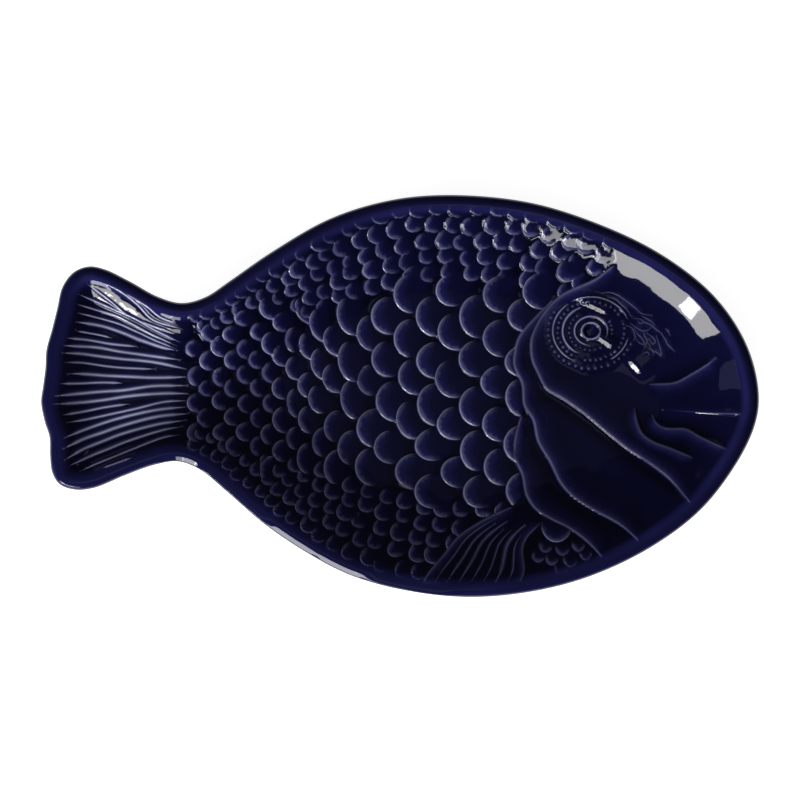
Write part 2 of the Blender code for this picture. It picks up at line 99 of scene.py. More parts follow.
# Silhouette of the rim from above, from the snout over the back to the tail and home along the belly
OUTLINE = [
    (0.1755, -0.0020), (0.1726, 0.0166), (0.1647, 0.0342), (0.1508, 0.0518), (0.1271, 0.0697),
    (0.0978, 0.0839), (0.0635, 0.0946), (0.0244, 0.0983), (-0.0049, 0.0957), (-0.0342, 0.0867),
    (-0.0635, 0.0699), (-0.0831, 0.0563), (-0.0953, 0.0483), (-0.1066, 0.0455), (-0.1183, 0.0486),
    (-0.1320, 0.0561), (-0.1442, 0.0620), (-0.1520, 0.0634), (-0.1594, 0.0606), (-0.1650, 0.0533),
    (-0.1675, 0.0430), (-0.1701, 0.0325), (-0.1728, 0.0225), (-0.1733, 0.0137), (-0.1745, 0.0044),
    (-0.1754, -0.0029), (-0.1736, -0.0127), (-0.1713, -0.0200), (-0.1710, -0.0293), (-0.1699, -0.0376),
    (-0.1662, -0.0433), (-0.1584, -0.0459), (-0.1491, -0.0449), (-0.1344, -0.0389), (-0.1198, -0.0337),
    (-0.1085, -0.0320), (-0.0978, -0.0360), (-0.0841, -0.0472), (-0.0660, -0.0628), (-0.0440, -0.0775),
    (-0.0244, -0.0875), (0.0, -0.0945), (0.0318, -0.0983), (0.0635, -0.0958), (0.0929, -0.0882),
    (0.1222, -0.0743), (0.1466, -0.0561), (0.1638, -0.0342), (0.1730, -0.0158),
]

# Relief lines in millimetres. Each gill cover runs from the back to the belly, its free edge towards the tail.
CHEEK_EDGE = [
    (103.6, 63.1), (95.8, 57.2), (80.7, 50.3), (73.8, 44.5), (67.9, 36.2), (64.5, 27.4), (65.0, 18.1),
    (67.9, 11.2), (71.9, 3.9), (80.7, -1.5), (92.4, -9.8), (99.2, -15.6), (111.9, -25.9), (122.2, -32.8),
    (132.0, -40.6), (141.3, -51.8),
]
GILL_EDGE = [
    (74.8, 46.9), (67.0, 39.1), (58.7, 29.3), (56.2, 20.0), (56.2, 14.7), (60.1, 5.9), (61.1, -4.4),
    (65.5, -11.7), (67.9, -22.0), (73.8, -32.3), (79.2, -43.0), (84.6, -48.9), (94.8, -55.7), (108.0, -63.1),
    (116.3, -70.4),
]
THROAT_EDGE = [
    (59.6, -9.8), (56.7, -20.0), (56.2, -29.8), (60.1, -38.6), (62.1, -48.4), (67.0, -55.7), (74.8, -60.6),
    (82.6, -64.5), (91.4, -70.9), (98.7, -78.7),
]
UPPER_LIP = [(153.6, 18.0), (150.1, 15.2), (142.2, 10.3), (135.4, 6.8), (123.2, 5.9)]
MOUTH = ((127.1, -6.0), (166.0, -8.0))
MOUTH_EDGE = [(126.0, -6.6), (139.0, -7.7), (152.5, -8.6), (165.5, -9.0)]
LOWER_LIP = [
    (160.0, -26.0), (153.5, -23.0), (146.6, -19.6), (140.3, -16.1), (130.5, -15.6), (126.1, -13.2), (124.2, -9.3),
]
CHEEK_FOLD = [(142.7, -29.8), (132.5, -25.4), (124.7, -22.5), (119.3, -18.6), (116.8, -13.2), (115.4, -6.4)]
FIN_UPPER = [(54.3, -54.7), (42.5, -60.1), (28.8, -68.9), (21.5, -77.7), (14.7, -85.5), (11.3, -90.6)]
FIN_REAR = [(58.7, -90.4), (60.6, -86.0), (60.3, -80.0), (60.1, -74.3), (62.6, -68.9), (68.4, -63.1)]
FIN_RAY_TAPER = (0.30, 0.25)
FIN_RAY_WIDTHS = (0.8, 1.1, 1.3, 0.9, 0.8, 1.5, 0.8)
FIN_RAY_STARTS = (0.18, 0.26, 0.20, 0.32, 0.26, 0.16, 0.30)
FOLDS = [
    (CHEEK_EDGE, 1.0), (GILL_EDGE, 1.0), (THROAT_EDGE, 0.9), (UPPER_LIP, 0.6), (LOWER_LIP, 0.7), (CHEEK_FOLD, 0.7),
    (FIN_UPPER, 0.75), (FIN_REAR, 0.6),
]
FOLD_TAPER = (0.12, 0.45)
MOUTH_EDGE_SIZES = (0.03, 0.30)
SCALES_END = (
    CHEEK_EDGE[:3] + [(73.5, 45.2), (62.0, 34.0)] + GILL_EDGE[3:7]
    + [(56.2, -25.0), (60.1, -38.6), (62.1, -48.4)] + FIN_UPPER + [(10.8, -90.9)]
)

# Tail rays, as (width, line from the tail's end to its root). A taper is (share of the length, least width).
TAIL_ROOT = -104.1
RAY_WIDTH = 1.25
RAY_TAPER = (0.14, 0.08)
TAIL_RAYS = [
    (0.6, [(-135.0, 50.6), (-124.0, 43.9), (-117.3, 38.4), (-108.8, 35.0)]),
    (0.6, [(-144.2, 54.9), (-136.9, 51.2), (-128.3, 44.5), (-121.0, 37.2), (-106.9, 32.9)]),
    (0.6, [(-152.5, 54.6), (-141.8, 46.3), (-133.2, 39.3), (-123.4, 35.0), (-110.6, 30.7)]),
    (0.7, [(-157.0, 49.7), (-146.6, 45.1), (-136.9, 40.8), (-129.5, 37.5), (-119.8, 32.0), (-108.2, 26.5)]),
    (0.6, [(-158.3, 45.1), (-148.5, 42.0), (-139.3, 39.3), (-132.0, 35.6), (-121.0, 29.8), (-109.4, 24.6)]),
    (0.6, [(-158.0, 40.8), (-148.5, 38.4), (-136.9, 35.0), (-129.5, 31.7), (-119.8, 27.1), (-109.7, 23.1)]),
    (1.1, [(-158.3, 36.2), (-146.6, 34.4), (-136.9, 31.3), (-127.1, 27.4), (-117.3, 24.0), (-109.4, 22.2)]),
    (0.6, [(-157.6, 31.7), (-148.5, 30.1), (-141.8, 28.6)]),
    (0.9, [(-162.5, 28.3), (-152.8, 27.4), (-141.8, 25.5), (-128.9, 24.2)]),
    (1.1, [(-164.7, 24.6), (-157.6, 24.3), (-147.9, 23.7), (-138.1, 21.9), (-127.1, 20.3), (-108.8, 17.8)]),
    (1.1, [(-165.6, 21.0), (-156.4, 20.7), (-146.6, 19.4), (-136.9, 18.2), (-121.0, 16.6), (-105.1, 13.3)]),
    (0.8, [(-163.8, 16.4), (-155.8, 16.3), (-145.4, 14.8), (-136.9, 13.9), (-127.1, 13.4), (-120.4, 13.2)]),
    (1.2, [(-161.3, 10.9), (-154.6, 10.8), (-144.2, 10.0), (-133.2, 9.5), (-121.0, 9.0), (-105.1, 9.3)]),
    (0.9, [(-165.6, 6.0), (-155.8, 6.2), (-145.4, 6.6), (-136.3, 6.3)]),
    (1.2, [(-168.6, -0.1), (-157.6, 1.1), (-145.4, 2.2), (-135.7, 2.8), (-121.0, 4.9), (-105.1, 5.1)]),
    (1.2, [(-169.3, -4.1), (-157.6, -3.3), (-145.4, -2.0), (-133.2, -0.1), (-114.9, 1.3), (-103.9, 1.1)]),
    (0.9, [(-164.7, -9.3), (-154.6, -7.6), (-145.4, -5.7), (-133.2, -3.9)]),
    (0.9, [(-162.5, -13.0), (-154.6, -11.7), (-145.4, -9.7), (-130.2, -6.4), (-114.9, -2.8), (-105.1, -2.3)]),
    (1.1, [(-164.1, -20.6), (-154.6, -16.6), (-145.4, -13.3), (-136.3, -10.6), (-117.9, -6.6), (-105.1, -5.4)]),
    (1.2, [(-164.4, -25.8), (-154.6, -21.0), (-145.4, -17.8), (-136.3, -14.6), (-117.9, -9.9), (-104.2, -8.7)]),
    (1.1, [(-163.8, -31.3), (-154.6, -25.9), (-145.4, -22.1), (-136.3, -18.6), (-117.9, -13.7), (-105.7, -12.0)]),
    (0.9, [(-161.9, -34.3), (-151.5, -29.5), (-142.4, -25.8), (-133.2, -22.1), (-114.9, -16.4), (-107.5, -15.2)]),
    (0.7, [(-156.4, -36.8), (-148.5, -33.2), (-139.3, -29.5), (-130.2, -25.8), (-114.9, -20.1), (-108.2, -19.1)]),
    (0.6, [(-144.8, -35.0), (-139.3, -33.1), (-131.4, -30.2)]),
]

# Eye: rings as (radius, width, start, end), and rings of beads as (radius, bead radius, count, start, end), in
# millimetres and degrees
EYE = (93.8, 32.0)
EYE_FLAT = 0.88
EYE_RING_SPACING = 0.6
EYE_RING_WAVE = 0.15
EYE_RING_TAPER = (0.15, 0.15)
EYE_RINGS = [
    (4.6, 1.5, 0, 360), (8.1, 1.2, -22, 262), (13.9, 1.5, 112, 238), (18.9, 1.1, 22, 118), (18.7, 1.1, 128, 240),
    (18.6, 1.1, -58, -14),
]
EYE_BEADS = [
    (10.7, 0.62, 26, 130, 305), (10.4, 0.60, 30, -8, 40), (16.3, 0.70, 36, 34, 236), (16.4, 0.66, 38, -100, 16),
    (21.0, 0.75, 40, 150, 340),
]

# Wrinkles beside the eye
WRINKLE_WIDTH = 0.48
WRINKLE_SPACING = 0.0005
WRINKLE_TAPER = (0.3, 0.5)
BROW_WRINKLES = [
    [(99.3, 50.5), (102.9, 50.7), (106.4, 49.6), (109.5, 47.6), (115.3, 43.2), (118.4, 40.5), (122.7, 39.6)],
    [(102.0, 48.5), (105.5, 47.6), (108.7, 44.7), (111.3, 42.3), (113.1, 39.6)],
    [(115.8, 38.0), (118.0, 37.6), (119.8, 36.3), (123.3, 34.7), (125.8, 32.5), (128.7, 30.3), (129.1, 29.2)],
    [(116.7, 36.9), (117.5, 35.8), (120.2, 36.0)],
    [(112.2, 34.3), (113.8, 33.4), (114.9, 31.2), (115.5, 28.9), (114.7, 27.2)],
    [(113.5, 35.4), (116.2, 33.4), (118.9, 32.0), (122.0, 32.5), (122.9, 33.4)],
    [(115.3, 32.5), (117.1, 30.0), (119.3, 27.6), (119.8, 25.4), (118.0, 25.8), (116.2, 27.6)],
    [(119.3, 32.0), (120.2, 29.4), (121.3, 26.7), (120.2, 24.5)],
    [(122.0, 30.3), (123.8, 28.9), (125.3, 26.7), (124.2, 25.4), (122.9, 27.2)],
    [(122.0, 25.8), (123.8, 22.7), (126.0, 21.4), (128.2, 19.8), (127.8, 23.2), (126.7, 26.7), (125.8, 29.4)],
    [(128.2, 30.3), (130.0, 28.0), (131.3, 25.4), (133.1, 23.6), (134.7, 22.0)],
    [(130.4, 32.9), (131.3, 32.0), (131.9, 30.9)],
    [(120.2, 21.2), (121.5, 21.6), (122.4, 20.0)],
    [(122.0, 23.6), (123.8, 22.3), (124.9, 20.7)],
    [(118.7, 39.2), (121.1, 37.8), (123.3, 36.5), (125.1, 34.7)],
]

# Swellings of the inside, in millimetres and degrees: the eye's mound and its pupil's hole as (height, inner radius,
# outer radius), the brow and the tail's upper wall as (middle, turn, height, length, breadth), and the lip over the
# mouth as (height, breadth above, breadth below, start, end)
EYE_SWELLS = [(2.0, 9.0, 24.0), (-1.3, 1.6, 3.4)]
LONG_SWELLS = [((115.0, 35.0), -39, 1.4, 20.0, 11.0), ((-135.9, 42.5), -30, 0.4, 16.0, 4.5)]
MOUTH_SWELL = (0.9, 6.5, 1.9, 12.0, 6.0)

# Small sloping faces, each a bank that rises to a line and falls away behind it: the pouch below the eye, the lid
# above it, and the corner beside the pupil. (middle of the line, its turn, run, rise, half length, fall behind)
BANKS = [
    ((116.6, 15.6), -50, 4.6, 2.35, 6.6, 16.0),
    ((95.4, 44.8), -24, 3.0, 1.52, 9.5, 7.0),
    ((101.8, 27.2), -35, 3.4, 1.90, 5.8, 6.0),
]
BANK_EVENNESS = 0.7
SWELL_FADE = 0.009

# Hand-made unevenness of the inside: longest and shortest wave, slope and number of waves
WAVES = (0.024, 0.009, 0.018, 14)

# Body scales: large ones in columns over the middle, each column half a scale off the last, and small ones in
# rows that follow the rim, each row half a scale off the last. Sizes grow from the tail to the body.
SCALE_MIDDLE_Y = -0.004
SCALES_ABOVE = 6
BAND_OVERLAP = 0.1
SCALE_PITCH = (0.0138, 0.0214, -0.080, -0.018)
SCALE_STEP = (0.0060, 0.0109, -0.058, 0.004)
RIM_BAND = (0.0148, 0.0438, -0.085, -0.025)
RIM_ROW = (0.0063, 0.0080, -0.085, -0.010)
RIM_STEP = (0.0066, 0.0096, -0.085, 0.010)
RIM_FIRST_ROW = 0.0078
RIM_ROWS = 5
RIM_FIT = 0.97
RIM_LEAN = math.radians(26)
SCALE_HALF_BREADTH = (0.36, 0.44, -0.080, -0.018)
RIM_HALF_BREADTH = 0.55
SCALE_DEPTH = 0.92
SCALE_REACH = 1.3
SCALE_RISE = 0.192
SCALE_RIM_MARGIN = 0.0006
SCALE_FADE_START = 0.001
SCALE_FADE = 0.0062
SCALES_END_FADE = (0.0001, 0.0011)
THROAT_START = (0.0600, 0.0615)
# Toward the tail the scales stand taller, and their pale edges and cobalt glow are brighter: painted light for the
# stronger light on the tail.
TAIL_SCALE_LIFT_AND_PAINTED_LIGHT = (1.52, 1.0, -0.085, -0.030)
SCALE_JITTER = 0.085
SCALE_RISE_JITTER = 0.12
SCALE_LEAN = math.radians(7)
SCALE_TURN_JITTER = math.radians(8)

# Throat scales below the last gill cover, in millimetres: tip, half breadth, depth and turn in degrees
THROAT_SCALES = [
    (76.2, -71.6, 7.4, 8.0, 86), (70.5, -76.6, 3.4, 4.0, 74), (79.0, -78.1, 3.6, 4.2, 80),
    (87.0, -76.2, 3.4, 4.2, 84), (66.5, -81.2, 3.2, 4.0, 66), (73.4, -82.6, 3.4, 4.2, 72),
    (82.4, -83.4, 3.6, 4.4, 78), (90.6, -80.2, 3.2, 4.2, 88), (77.8, -87.0, 3.2, 4.0, 74),
]

# Spacing of the meshes, and the share of the relief in the skins under the glaze
RIM_SPACING = 0.0012
SHOULDER_ROWS = (0.5, 1.1, 1.7, 2.4, 3.1, 3.9, 4.7, 5.5)
FINE_SPACING = 0.0016
ROW_SPACING = 0.0007
LEAST_SPACING = 0.00022
UNDER_SPACING = 0.0032
HIDDEN_RIM_SPACING = 0.0045
HIDDEN_SPACING = 0.0042
GLAZE_INNER_PRESS = 0.30
CLAY_PRESS = 0.50
GRID_APART = 0.62
ROW_FIT = 0.985
SAME_POINT = 1e-7
SEED = 7

# Rows of mesh points beside a relief line, as shares of its width, or in millimetres beside a stepped edge
RAY_ROWS = (0.0, -0.28, 0.32, -0.60, 0.75, -0.95, 1.3, -1.35, 1.9)
LINE_ROWS = (0.0, -0.35, 0.35, -0.7, 0.7, -1.05, 1.05)
FOLD_ROWS = (0.2, -0.15, -0.5, 0.6, -0.95, 1.2)

# Other rows of mesh points: under the rim in millimetres, round each bead as (share of its radius, count), in the
# pupil as (first radius, end, step), and extra points over the mouth, as (start, middle, reach), and over the banks
UNDER_ROWS = (2.6, 4.2, 6.2, 8.6, 11.4)
BEAD_ROWS = ((0.62, 6), (1.25, 8))
PUPIL_ROWS = (0.0004, 0.0060, 0.0005)
PUPIL_SPACING = 0.0006
MOUTH_ROWS = (0.126, -0.0075, 0.004)
EXTRA_SHIFTS = ((0.0, 0.0), (0.0006, 0.0), (0.0003, 0.0005))


def smooth_step(value, low, high):
    """0 below low, 1 above high, eased between them."""
    share = np.clip((value - low) / (high - low), 0.0, 1.0)
    return share * share * (3.0 - 2.0 * share)


def spline(points, per_span, closed):
    """Centripetal curve through points, as a ring or as an open line."""
    points = np.array(points, float)
    if not closed:
        points = np.vstack([2 * points[0] - points[1], points, 2 * points[-1] - points[-2]])
    count = len(points)
    shares = np.arange(per_span)[:, None] / per_span
    spans = []
    for index in range(count if closed else count - 3):
        offsets = (-1, 0, 1, 2) if closed else (0, 1, 2, 3)
        corners = [points[(index + step) % count] for step in offsets]
        knots = [0.0]
        for start, end in zip(corners, corners[1:]):
            knots.append(knots[-1] + math.sqrt(np.linalg.norm(end - start)))
        where = knots[1] + (knots[2] - knots[1]) * shares

        def between(first, second, low, high):
            return (first * (high - where) + second * (where - low)) / (high - low)

        lines = [between(corners[i], corners[i + 1], knots[i], knots[i + 1]) for i in range(3)]
        bends = [between(lines[i], lines[i + 1], knots[i], knots[i + 2]) for i in range(2)]
        spans.append(between(bends[0], bends[1], knots[1], knots[2]))
    if not closed:
        spans.append(points[-2:-1])
    return np.vstack(spans)


def respaced(line, spacing, closed=False):
    """Points at even distances along a line."""
    if closed:
        line = np.vstack([line, line[:1]])
    lengths = np.concatenate([[0.0], np.cumsum(np.linalg.norm(np.diff(line, axis=0), axis=1))])
    count = max(2, int(round(lengths[-1] / spacing)))
    stops = np.linspace(0.0, lengths[-1], count + 1)
    if closed:
        stops = stops[:-1]
    return np.column_stack([np.interp(stops, lengths, line[:, axis]) for axis in (0, 1)])


def left_of(along):
    """Unit vectors to the left of each direction."""
    along = along / np.linalg.norm(along, axis=1)[:, None]
    return np.column_stack([-along[:, 1], along[:, 0]])


def inward(ring):
    """Unit vectors to the inside of a counter-clockwise ring."""
    return left_of(np.roll(ring, -1, axis=0) - np.roll(ring, 1, axis=0))


def moved_in(ring, distance):
    """A counter-clockwise ring moved towards its inside."""
    return ring + distance * inward(ring)


def beside(line, distance):
    """An open line moved to the left of its direction."""
    return line + distance * left_of(np.gradient(line, axis=0))


def turned(points, place, turn):
    """Distances along a direction through a place, and to the left of it."""
    across, up = (points - np.array(place)).T
    return across * math.cos(turn) + up * math.sin(turn), up * math.cos(turn) - across * math.sin(turn)


def relief_line(points, spacing=ROW_SPACING):
    """A smooth line through points given in millimetres."""
    return respaced(spline(np.array(points) * MM, 12, False), spacing)


def outline_ring():
    ring = spline(OUTLINE, 24, True)
    return ring - (ring.min(axis=0) + ring.max(axis=0)) / 2


class RimMeasure:
    """Distance in from the silhouette of the rim."""

    def __init__(self, ring):
        self.points = respaced(ring, 0.0002, True)
        self.inward = inward(self.points)
        self.tree = kdtree.KDTree(len(self.points))
        for index, (x, y) in enumerate(self.points):
            self.tree.insert((x, y, 0.0), index)
        self.tree.balance()

    def distance(self, points):
        nearest = np.array([self.tree.find((x, y, 0.0))[1] for x, y in points])
        return ((points - self.points[nearest]) * self.inward[nearest]).sum(axis=1)


OUTLINE_RING = outline_ring()
RIM = RimMeasure(OUTLINE_RING)


def grown(x, sizes):
    """A size that grows from (tail, body) between two places along the fish."""
    tail, body, tail_x, body_x = sizes
    return tail + (body - tail) * smooth_step(x, tail_x, body_x)


def hollow(points):
    """Depth of the hollow below the lip, and the plan width of its curved side, at each point."""
    return (
        grown(points[:, 0], (TAIL_HOLLOW_DEPTH, BODY_HOLLOW_DEPTH, RAMP_TAIL_X, RAMP_BODY_X)),
        grown(points[:, 0], (TAIL_HOLLOW_RUN, BODY_HOLLOW_RUN, RAMP_TAIL_X, RAMP_BODY_X)),
    )


def bowl(distance, run):
    """Share of a bowl's depth that is reached at a distance in from its edge."""
    return 1.0 - (1.0 - np.clip(distance / run, 0.0, 1.0)) ** HOLLOW_CURVE


def past_shoulder(distance):
    """Distance past a rounded shoulder, which starts level and then runs on evenly."""
    return np.hypot(np.clip(distance, 0.0, None), SHOULDER) - SHOULDER


def plain_inside(points, distance):
    depth, run = hollow(points)
    return GLAZE_TOP - depth * bowl(past_shoulder(distance - LIP), run)


class SoftHollow:
    """The plain hollow with the ridge along its middle line smoothed away."""

    spacing = 0.0015
    blur = 0.0055
    edge = 0.03
    blend = (0.016, 0.034)

    def __init__(self):
        self.low = OUTLINE_RING.min(axis=0) - self.edge
        counts = np.ceil((OUTLINE_RING.max(axis=0) + self.edge - self.low) / self.spacing).astype(int)
        across, up = np.meshgrid(np.arange(counts[0]), np.arange(counts[1]), indexing="ij")
        points = self.low + self.spacing * np.column_stack([across.ravel(), up.ravel()])
        grid = plain_inside(points, RIM.distance(points)).reshape(counts)
        reach = int(3 * self.blur / self.spacing)
        kernel = np.exp(-0.5 * (np.arange(-reach, reach + 1) * self.spacing / self.blur) ** 2)
        kernel /= kernel.sum()
        for axis in (0, 1):
            grid = np.apply_along_axis(np.convolve, axis, grid, kernel, "same")
        self.grid = grid

    def height(self, points):
        """Cubic reading of the smoothed grid."""
        where = (points - self.low) / self.spacing
        cell = np.clip(np.floor(where).astype(int), 1, np.array(self.grid.shape) - 3)
        share = where - cell
        weights = [
            -0.5 * share + share**2 - 0.5 * share**3,
            1.0 - 2.5 * share**2 + 1.5 * share**3,
            0.5 * share + 2.0 * share**2 - 1.5 * share**3,
            -0.5 * share**2 + 0.5 * share**3,
        ]
        total = np.zeros(len(points))
        for i in range(4):
            for j in range(4):
                total += weights[i][:, 0] * weights[j][:, 1] * self.grid[cell[:, 0] + i - 1, cell[:, 1] + j - 1]
        return total


SOFT_HOLLOW = SoftHollow()


def unevenness(points):
    """Gentle hand-made waviness of a surface, as a sum of plane waves."""
    longest, shortest, slope, waves = WAVES
    random = np.random.default_rng(SEED)
    total = np.zeros(len(points))
    for _ in range(waves):
        length = shortest + (longest - shortest) * random.random()
        turn = random.uniform(0.0, math.pi)
        phase = random.uniform(0.0, 2 * math.pi)
        along = turned(points, (0.0, 0.0), turn)[0]
        total += length / (2 * math.pi) * np.sin(2 * math.pi * along / length + phase)
    return slope * math.sqrt(2.0 / waves) * total


def swellings(points):
    """Height of the eye's mound and pupil, the brow, the tail's wall, the banks around the eye and the mouth."""
    points = points / MM
    total = np.zeros(len(points))
    eye = np.linalg.norm(points - EYE, axis=1)
    for height, inner, outer in EYE_SWELLS:
        total += height * (1.0 - smooth_step(eye, inner, outer))
    for place, turn, height, length, breadth in LONG_SWELLS:
        along, aside = turned(points, place, math.radians(turn))
        total += height * np.exp(-((along / length) ** 2) - (aside / breadth) ** 2)
    for place, turn, run, rise, reach, behind in BANKS:
        along, aside = turned(points, place, math.radians(turn))
        even = np.clip(aside / run + 1.0, 0.0, 1.0)
        ramp = BANK_EVENNESS * even + (1.0 - BANK_EVENNESS) * smooth_step(aside, -run, 0.0)
        total += rise * ramp * (1.0 - smooth_step(aside, 0.0, behind)) * np.exp(-((along / reach) ** 4))
    height, above, below, start, end = MOUTH_SWELL
    way = np.subtract(MOUTH[1], MOUTH[0])
    length = np.linalg.norm(way)
    along, aside = turned(points, MOUTH[0], math.atan2(way[1], way[0]))
    ends = smooth_step(along, 0.0, start) * (1.0 - smooth_step(along, length, length + end))
    total += height * np.exp(-((aside / np.where(aside > 0.0, above, below)) ** 2)) * ends
    return total * MM


def inside_height(points, distance):
    """Height of the glaze inside the rim, before the finer relief is pressed in."""
    plain = plain_inside(points, distance)
    soft = plain + (SOFT_HOLLOW.height(points) - plain) * smooth_step(distance, *SOFT_HOLLOW.blend)
    inner = smooth_step(distance, LIP, LIP + SWELL_FADE)
    return soft + inner * (swellings(points) + unevenness(points))


def under_height(points, distance):
    """Height of the clay's underside."""
    depth, run = hollow(points)
    drop = depth + FLOOR_THICKNESS - LIP_FALL - LIP_EDGE
    return LIP_LOW - drop * bowl(past_shoulder(distance - COAT), run)


def middle_places():
    """(x, y, turn, step, half breadth) of the large scales."""
    places = []
    column = 0
    x = TAIL_ROOT * MM
    while x < CHEEK_EDGE[0][0] * MM:
        step = grown(x, SCALE_STEP)
        pitch = grown(x, SCALE_PITCH)
        for number in np.arange(-SCALES_ABOVE, SCALES_ABOVE) + 0.5 * (column % 2):
            y = SCALE_MIDDLE_Y + number * pitch
            turn = SCALE_LEAN + math.atan2(number * (grown(x + step, SCALE_PITCH) - pitch), step)
            places.append((x, y, turn, step, grown(x, SCALE_HALF_BREADTH) * pitch))
        x += step
        column += 1
    places = np.array(places)
    inside = RIM.distance(places[:, :2]) > grown(places[:, 0], RIM_BAND) - BAND_OVERLAP * places[:, 4]
    return places[inside]


def rim_places():
    """(x, y, turn, step, half breadth) of the small scales."""
    ring = respaced(OUTLINE_RING, MM, True)
    places = []
    for side in (1, -1):
        edge = ring[ring[:, 1] * side > 0.0]
        edge = edge[np.argsort(edge[:, 0])]
        for row in range(RIM_ROWS):
            gap = RIM_FIRST_ROW + row * grown(edge[:, 0], RIM_ROW)
            line = moved_in(edge, (side * -gap)[:, None])
            kept = (RIM.distance(line) > RIM_FIT * gap) & (gap < grown(line[:, 0], RIM_BAND))
            line = line[kept & (line[:, 0] > TAIL_ROOT * MM)]
            steps = np.linalg.norm(np.diff(line, axis=0), axis=1) / grown(line[1:, 0], RIM_STEP)
            count = np.concatenate([[0.0], np.cumsum(steps)])
            for stop in np.arange(0.5 * (row % 2), count[-1]):
                x, y = (np.interp(stop, count, line[:, axis]) for axis in (0, 1))
                half = RIM_HALF_BREADTH * grown(x, RIM_ROW)
                places.append((x, y, RIM_LEAN, grown(x, RIM_STEP), half))
    return np.array(places)


def scale_seats():
    """One row (x, y, turn, depth, half breadth, rise) for the free tip of every scale."""
    random = np.random.default_rng(SEED)
    seats = []
    for x, y, turn, step, half in np.vstack([middle_places(), rim_places()]):
        half *= 1.0 + SCALE_JITTER * random.normal()
        depth = min(SCALE_DEPTH * step, SCALE_REACH * half) * (1.0 + SCALE_JITTER * random.normal())
        seats.append((
            x + SCALE_JITTER * step * random.normal(),
            y + SCALE_JITTER * half * random.normal(),
            turn + SCALE_TURN_JITTER * random.normal(),
            depth,
            half,
            SCALE_RISE * math.sqrt(depth * half) * (1.0 + SCALE_RISE_JITTER * random.normal()),
        ))
    seats = np.array(seats)
    clear = RIM.distance(seats[:, :2]) > RELIEF_EDGE + SCALE_RIM_MARGIN
    seats = seats[clear & (seats[:, 0] < scales_limit(seats))]
    throat = [
        (x * MM, y * MM, math.radians(turn), depth * MM, half * MM, SCALE_RISE * math.sqrt(depth * half) * MM)
        for x, y, half, depth, turn in THROAT_SCALES
    ]
    return np.vstack([seats, throat])


def scales_limit(points):
    """Place along the fish where its scales pass under the gill cover or the fin."""
    edge = np.array(SCALES_END[::-1]) * MM
    return np.interp(points[:, 1], edge[:, 1], edge[:, 0])


def scaled_share(points):
    """1 where scales show, 0 under the gill covers and the fin."""
    body = smooth_step(scales_limit(points) - points[:, 0], *SCALES_END_FADE)
    throat = np.array(THROAT_EDGE[5:]) * MM
    below = np.interp(points[:, 0], throat[:, 0], throat[:, 1]) - points[:, 1]
    return np.maximum(body, smooth_step(below, *SCALES_END_FADE) * smooth_step(points[:, 0], *THROAT_START))


def placed(seat, local):
    """Plan points of one scale from its own unit shape, whose tip lies at the origin and whose root lies on +X."""
    x, y, turn, depth, half = seat[:5]
    across = local[:, 0] * depth
    up = local[:, 1] * half
    return np.column_stack([
        x + across * math.cos(turn) - up * math.sin(turn),
        y + across * math.sin(turn) + up * math.cos(turn),
    ])


# The unit scale: rows of its points, its form, and the glaze on it, as shares of its size
SCALE_ROWS = (0.0, 0.35, 0.6, 0.8, 0.88, 0.915, 0.935, 0.955, 0.975, 1.0, 1.02, 1.04, 1.06, 1.085)
SCALE_ROOT = 2.3
SCALE_SINK = 0.40
SCALE_DOME = 0.10
SCALE_PALE = 0.50
SCALE_DOME_POWER = 2.4
SCALE_FALL = (0.935, 1.065)
SCALE_FALL_SHARES = (0.85, 0.15)
SCALE_UNDERCUT = 0.02
SCALE_SIDES = 44
SCALE_FREE = (0.45, 1.05)
SCALE_LINE = (0.953, 0.030)
SCALE_GLOW = (0.15, 0.90)
SCALE_GLOW_END = (0.97, 1.05)

# Mesh points along the free edges of the scales: how far round, how many, and on which rows
ARC_HALF_TURN = 0.52
ARC_POINTS = (21, 31)
LARGE_SCALE = 0.006
ARC_TEST_ROW = 0.93
ARC_TOLERANCE = 0.00004
ARC_ROWS = (0.917, 1.080)
ARC_ROW_COUNT = (4, 6)
ARC_BAND = 0.16
ARC_ROW_SPACING = 0.00026


def scale_arc(factor, angles):
    """A line round the unit scale: a half circle at the free end, drawn out at the root."""
    reach = np.where(np.cos(angles) > 0.0, 1.0, SCALE_ROOT)
    return np.column_stack([1.0 - factor * reach * np.cos(angles), factor * np.sin(angles)])


def scale_height(along, aside, factor):
    """Height of the unit scale: a nail that is highest at its free tip and sinks towards its sides and root."""
    dome = 1.0 - SCALE_DOME * np.abs(aside) ** SCALE_DOME_POWER
    plate = (1.0 - SCALE_SINK * np.clip(along, 0.0, None)) * dome
    even = np.clip((factor - SCALE_FALL[0]) / (SCALE_FALL[1] - SCALE_FALL[0]), 0.0, 1.0)
    fall = 1.0 - SCALE_FALL_SHARES[0] * even - SCALE_FALL_SHARES[1] * smooth_step(factor, *SCALE_FALL)
    return np.clip(plate, 0.0, None) * fall


def scale_tint(along, factor):
    """(edge, glow) of the glaze on the unit scale: a thin pale line on its free edge, with cobalt behind it."""
    free = 1.0 - smooth_step(along, *SCALE_FREE)
    edge = np.exp(-(((factor - SCALE_LINE[0]) / SCALE_LINE[1]) ** 2)) * free
    glow = smooth_step(factor, *SCALE_GLOW) * (1.0 - smooth_step(factor, *SCALE_GLOW_END)) * free
    return SCALE_PALE * edge, glow


def ring_faces(first, rows, sides):
    """Quads between rows of points that lie round each other."""
    pairs = [(side, (side + 1) % sides) for side in range(sides)]
    lows = range(first, first + (rows - 1) * sides, sides)
    return [(low + a, low + b, low + sides + b, low + sides + a) for low in lows for a, b in pairs]


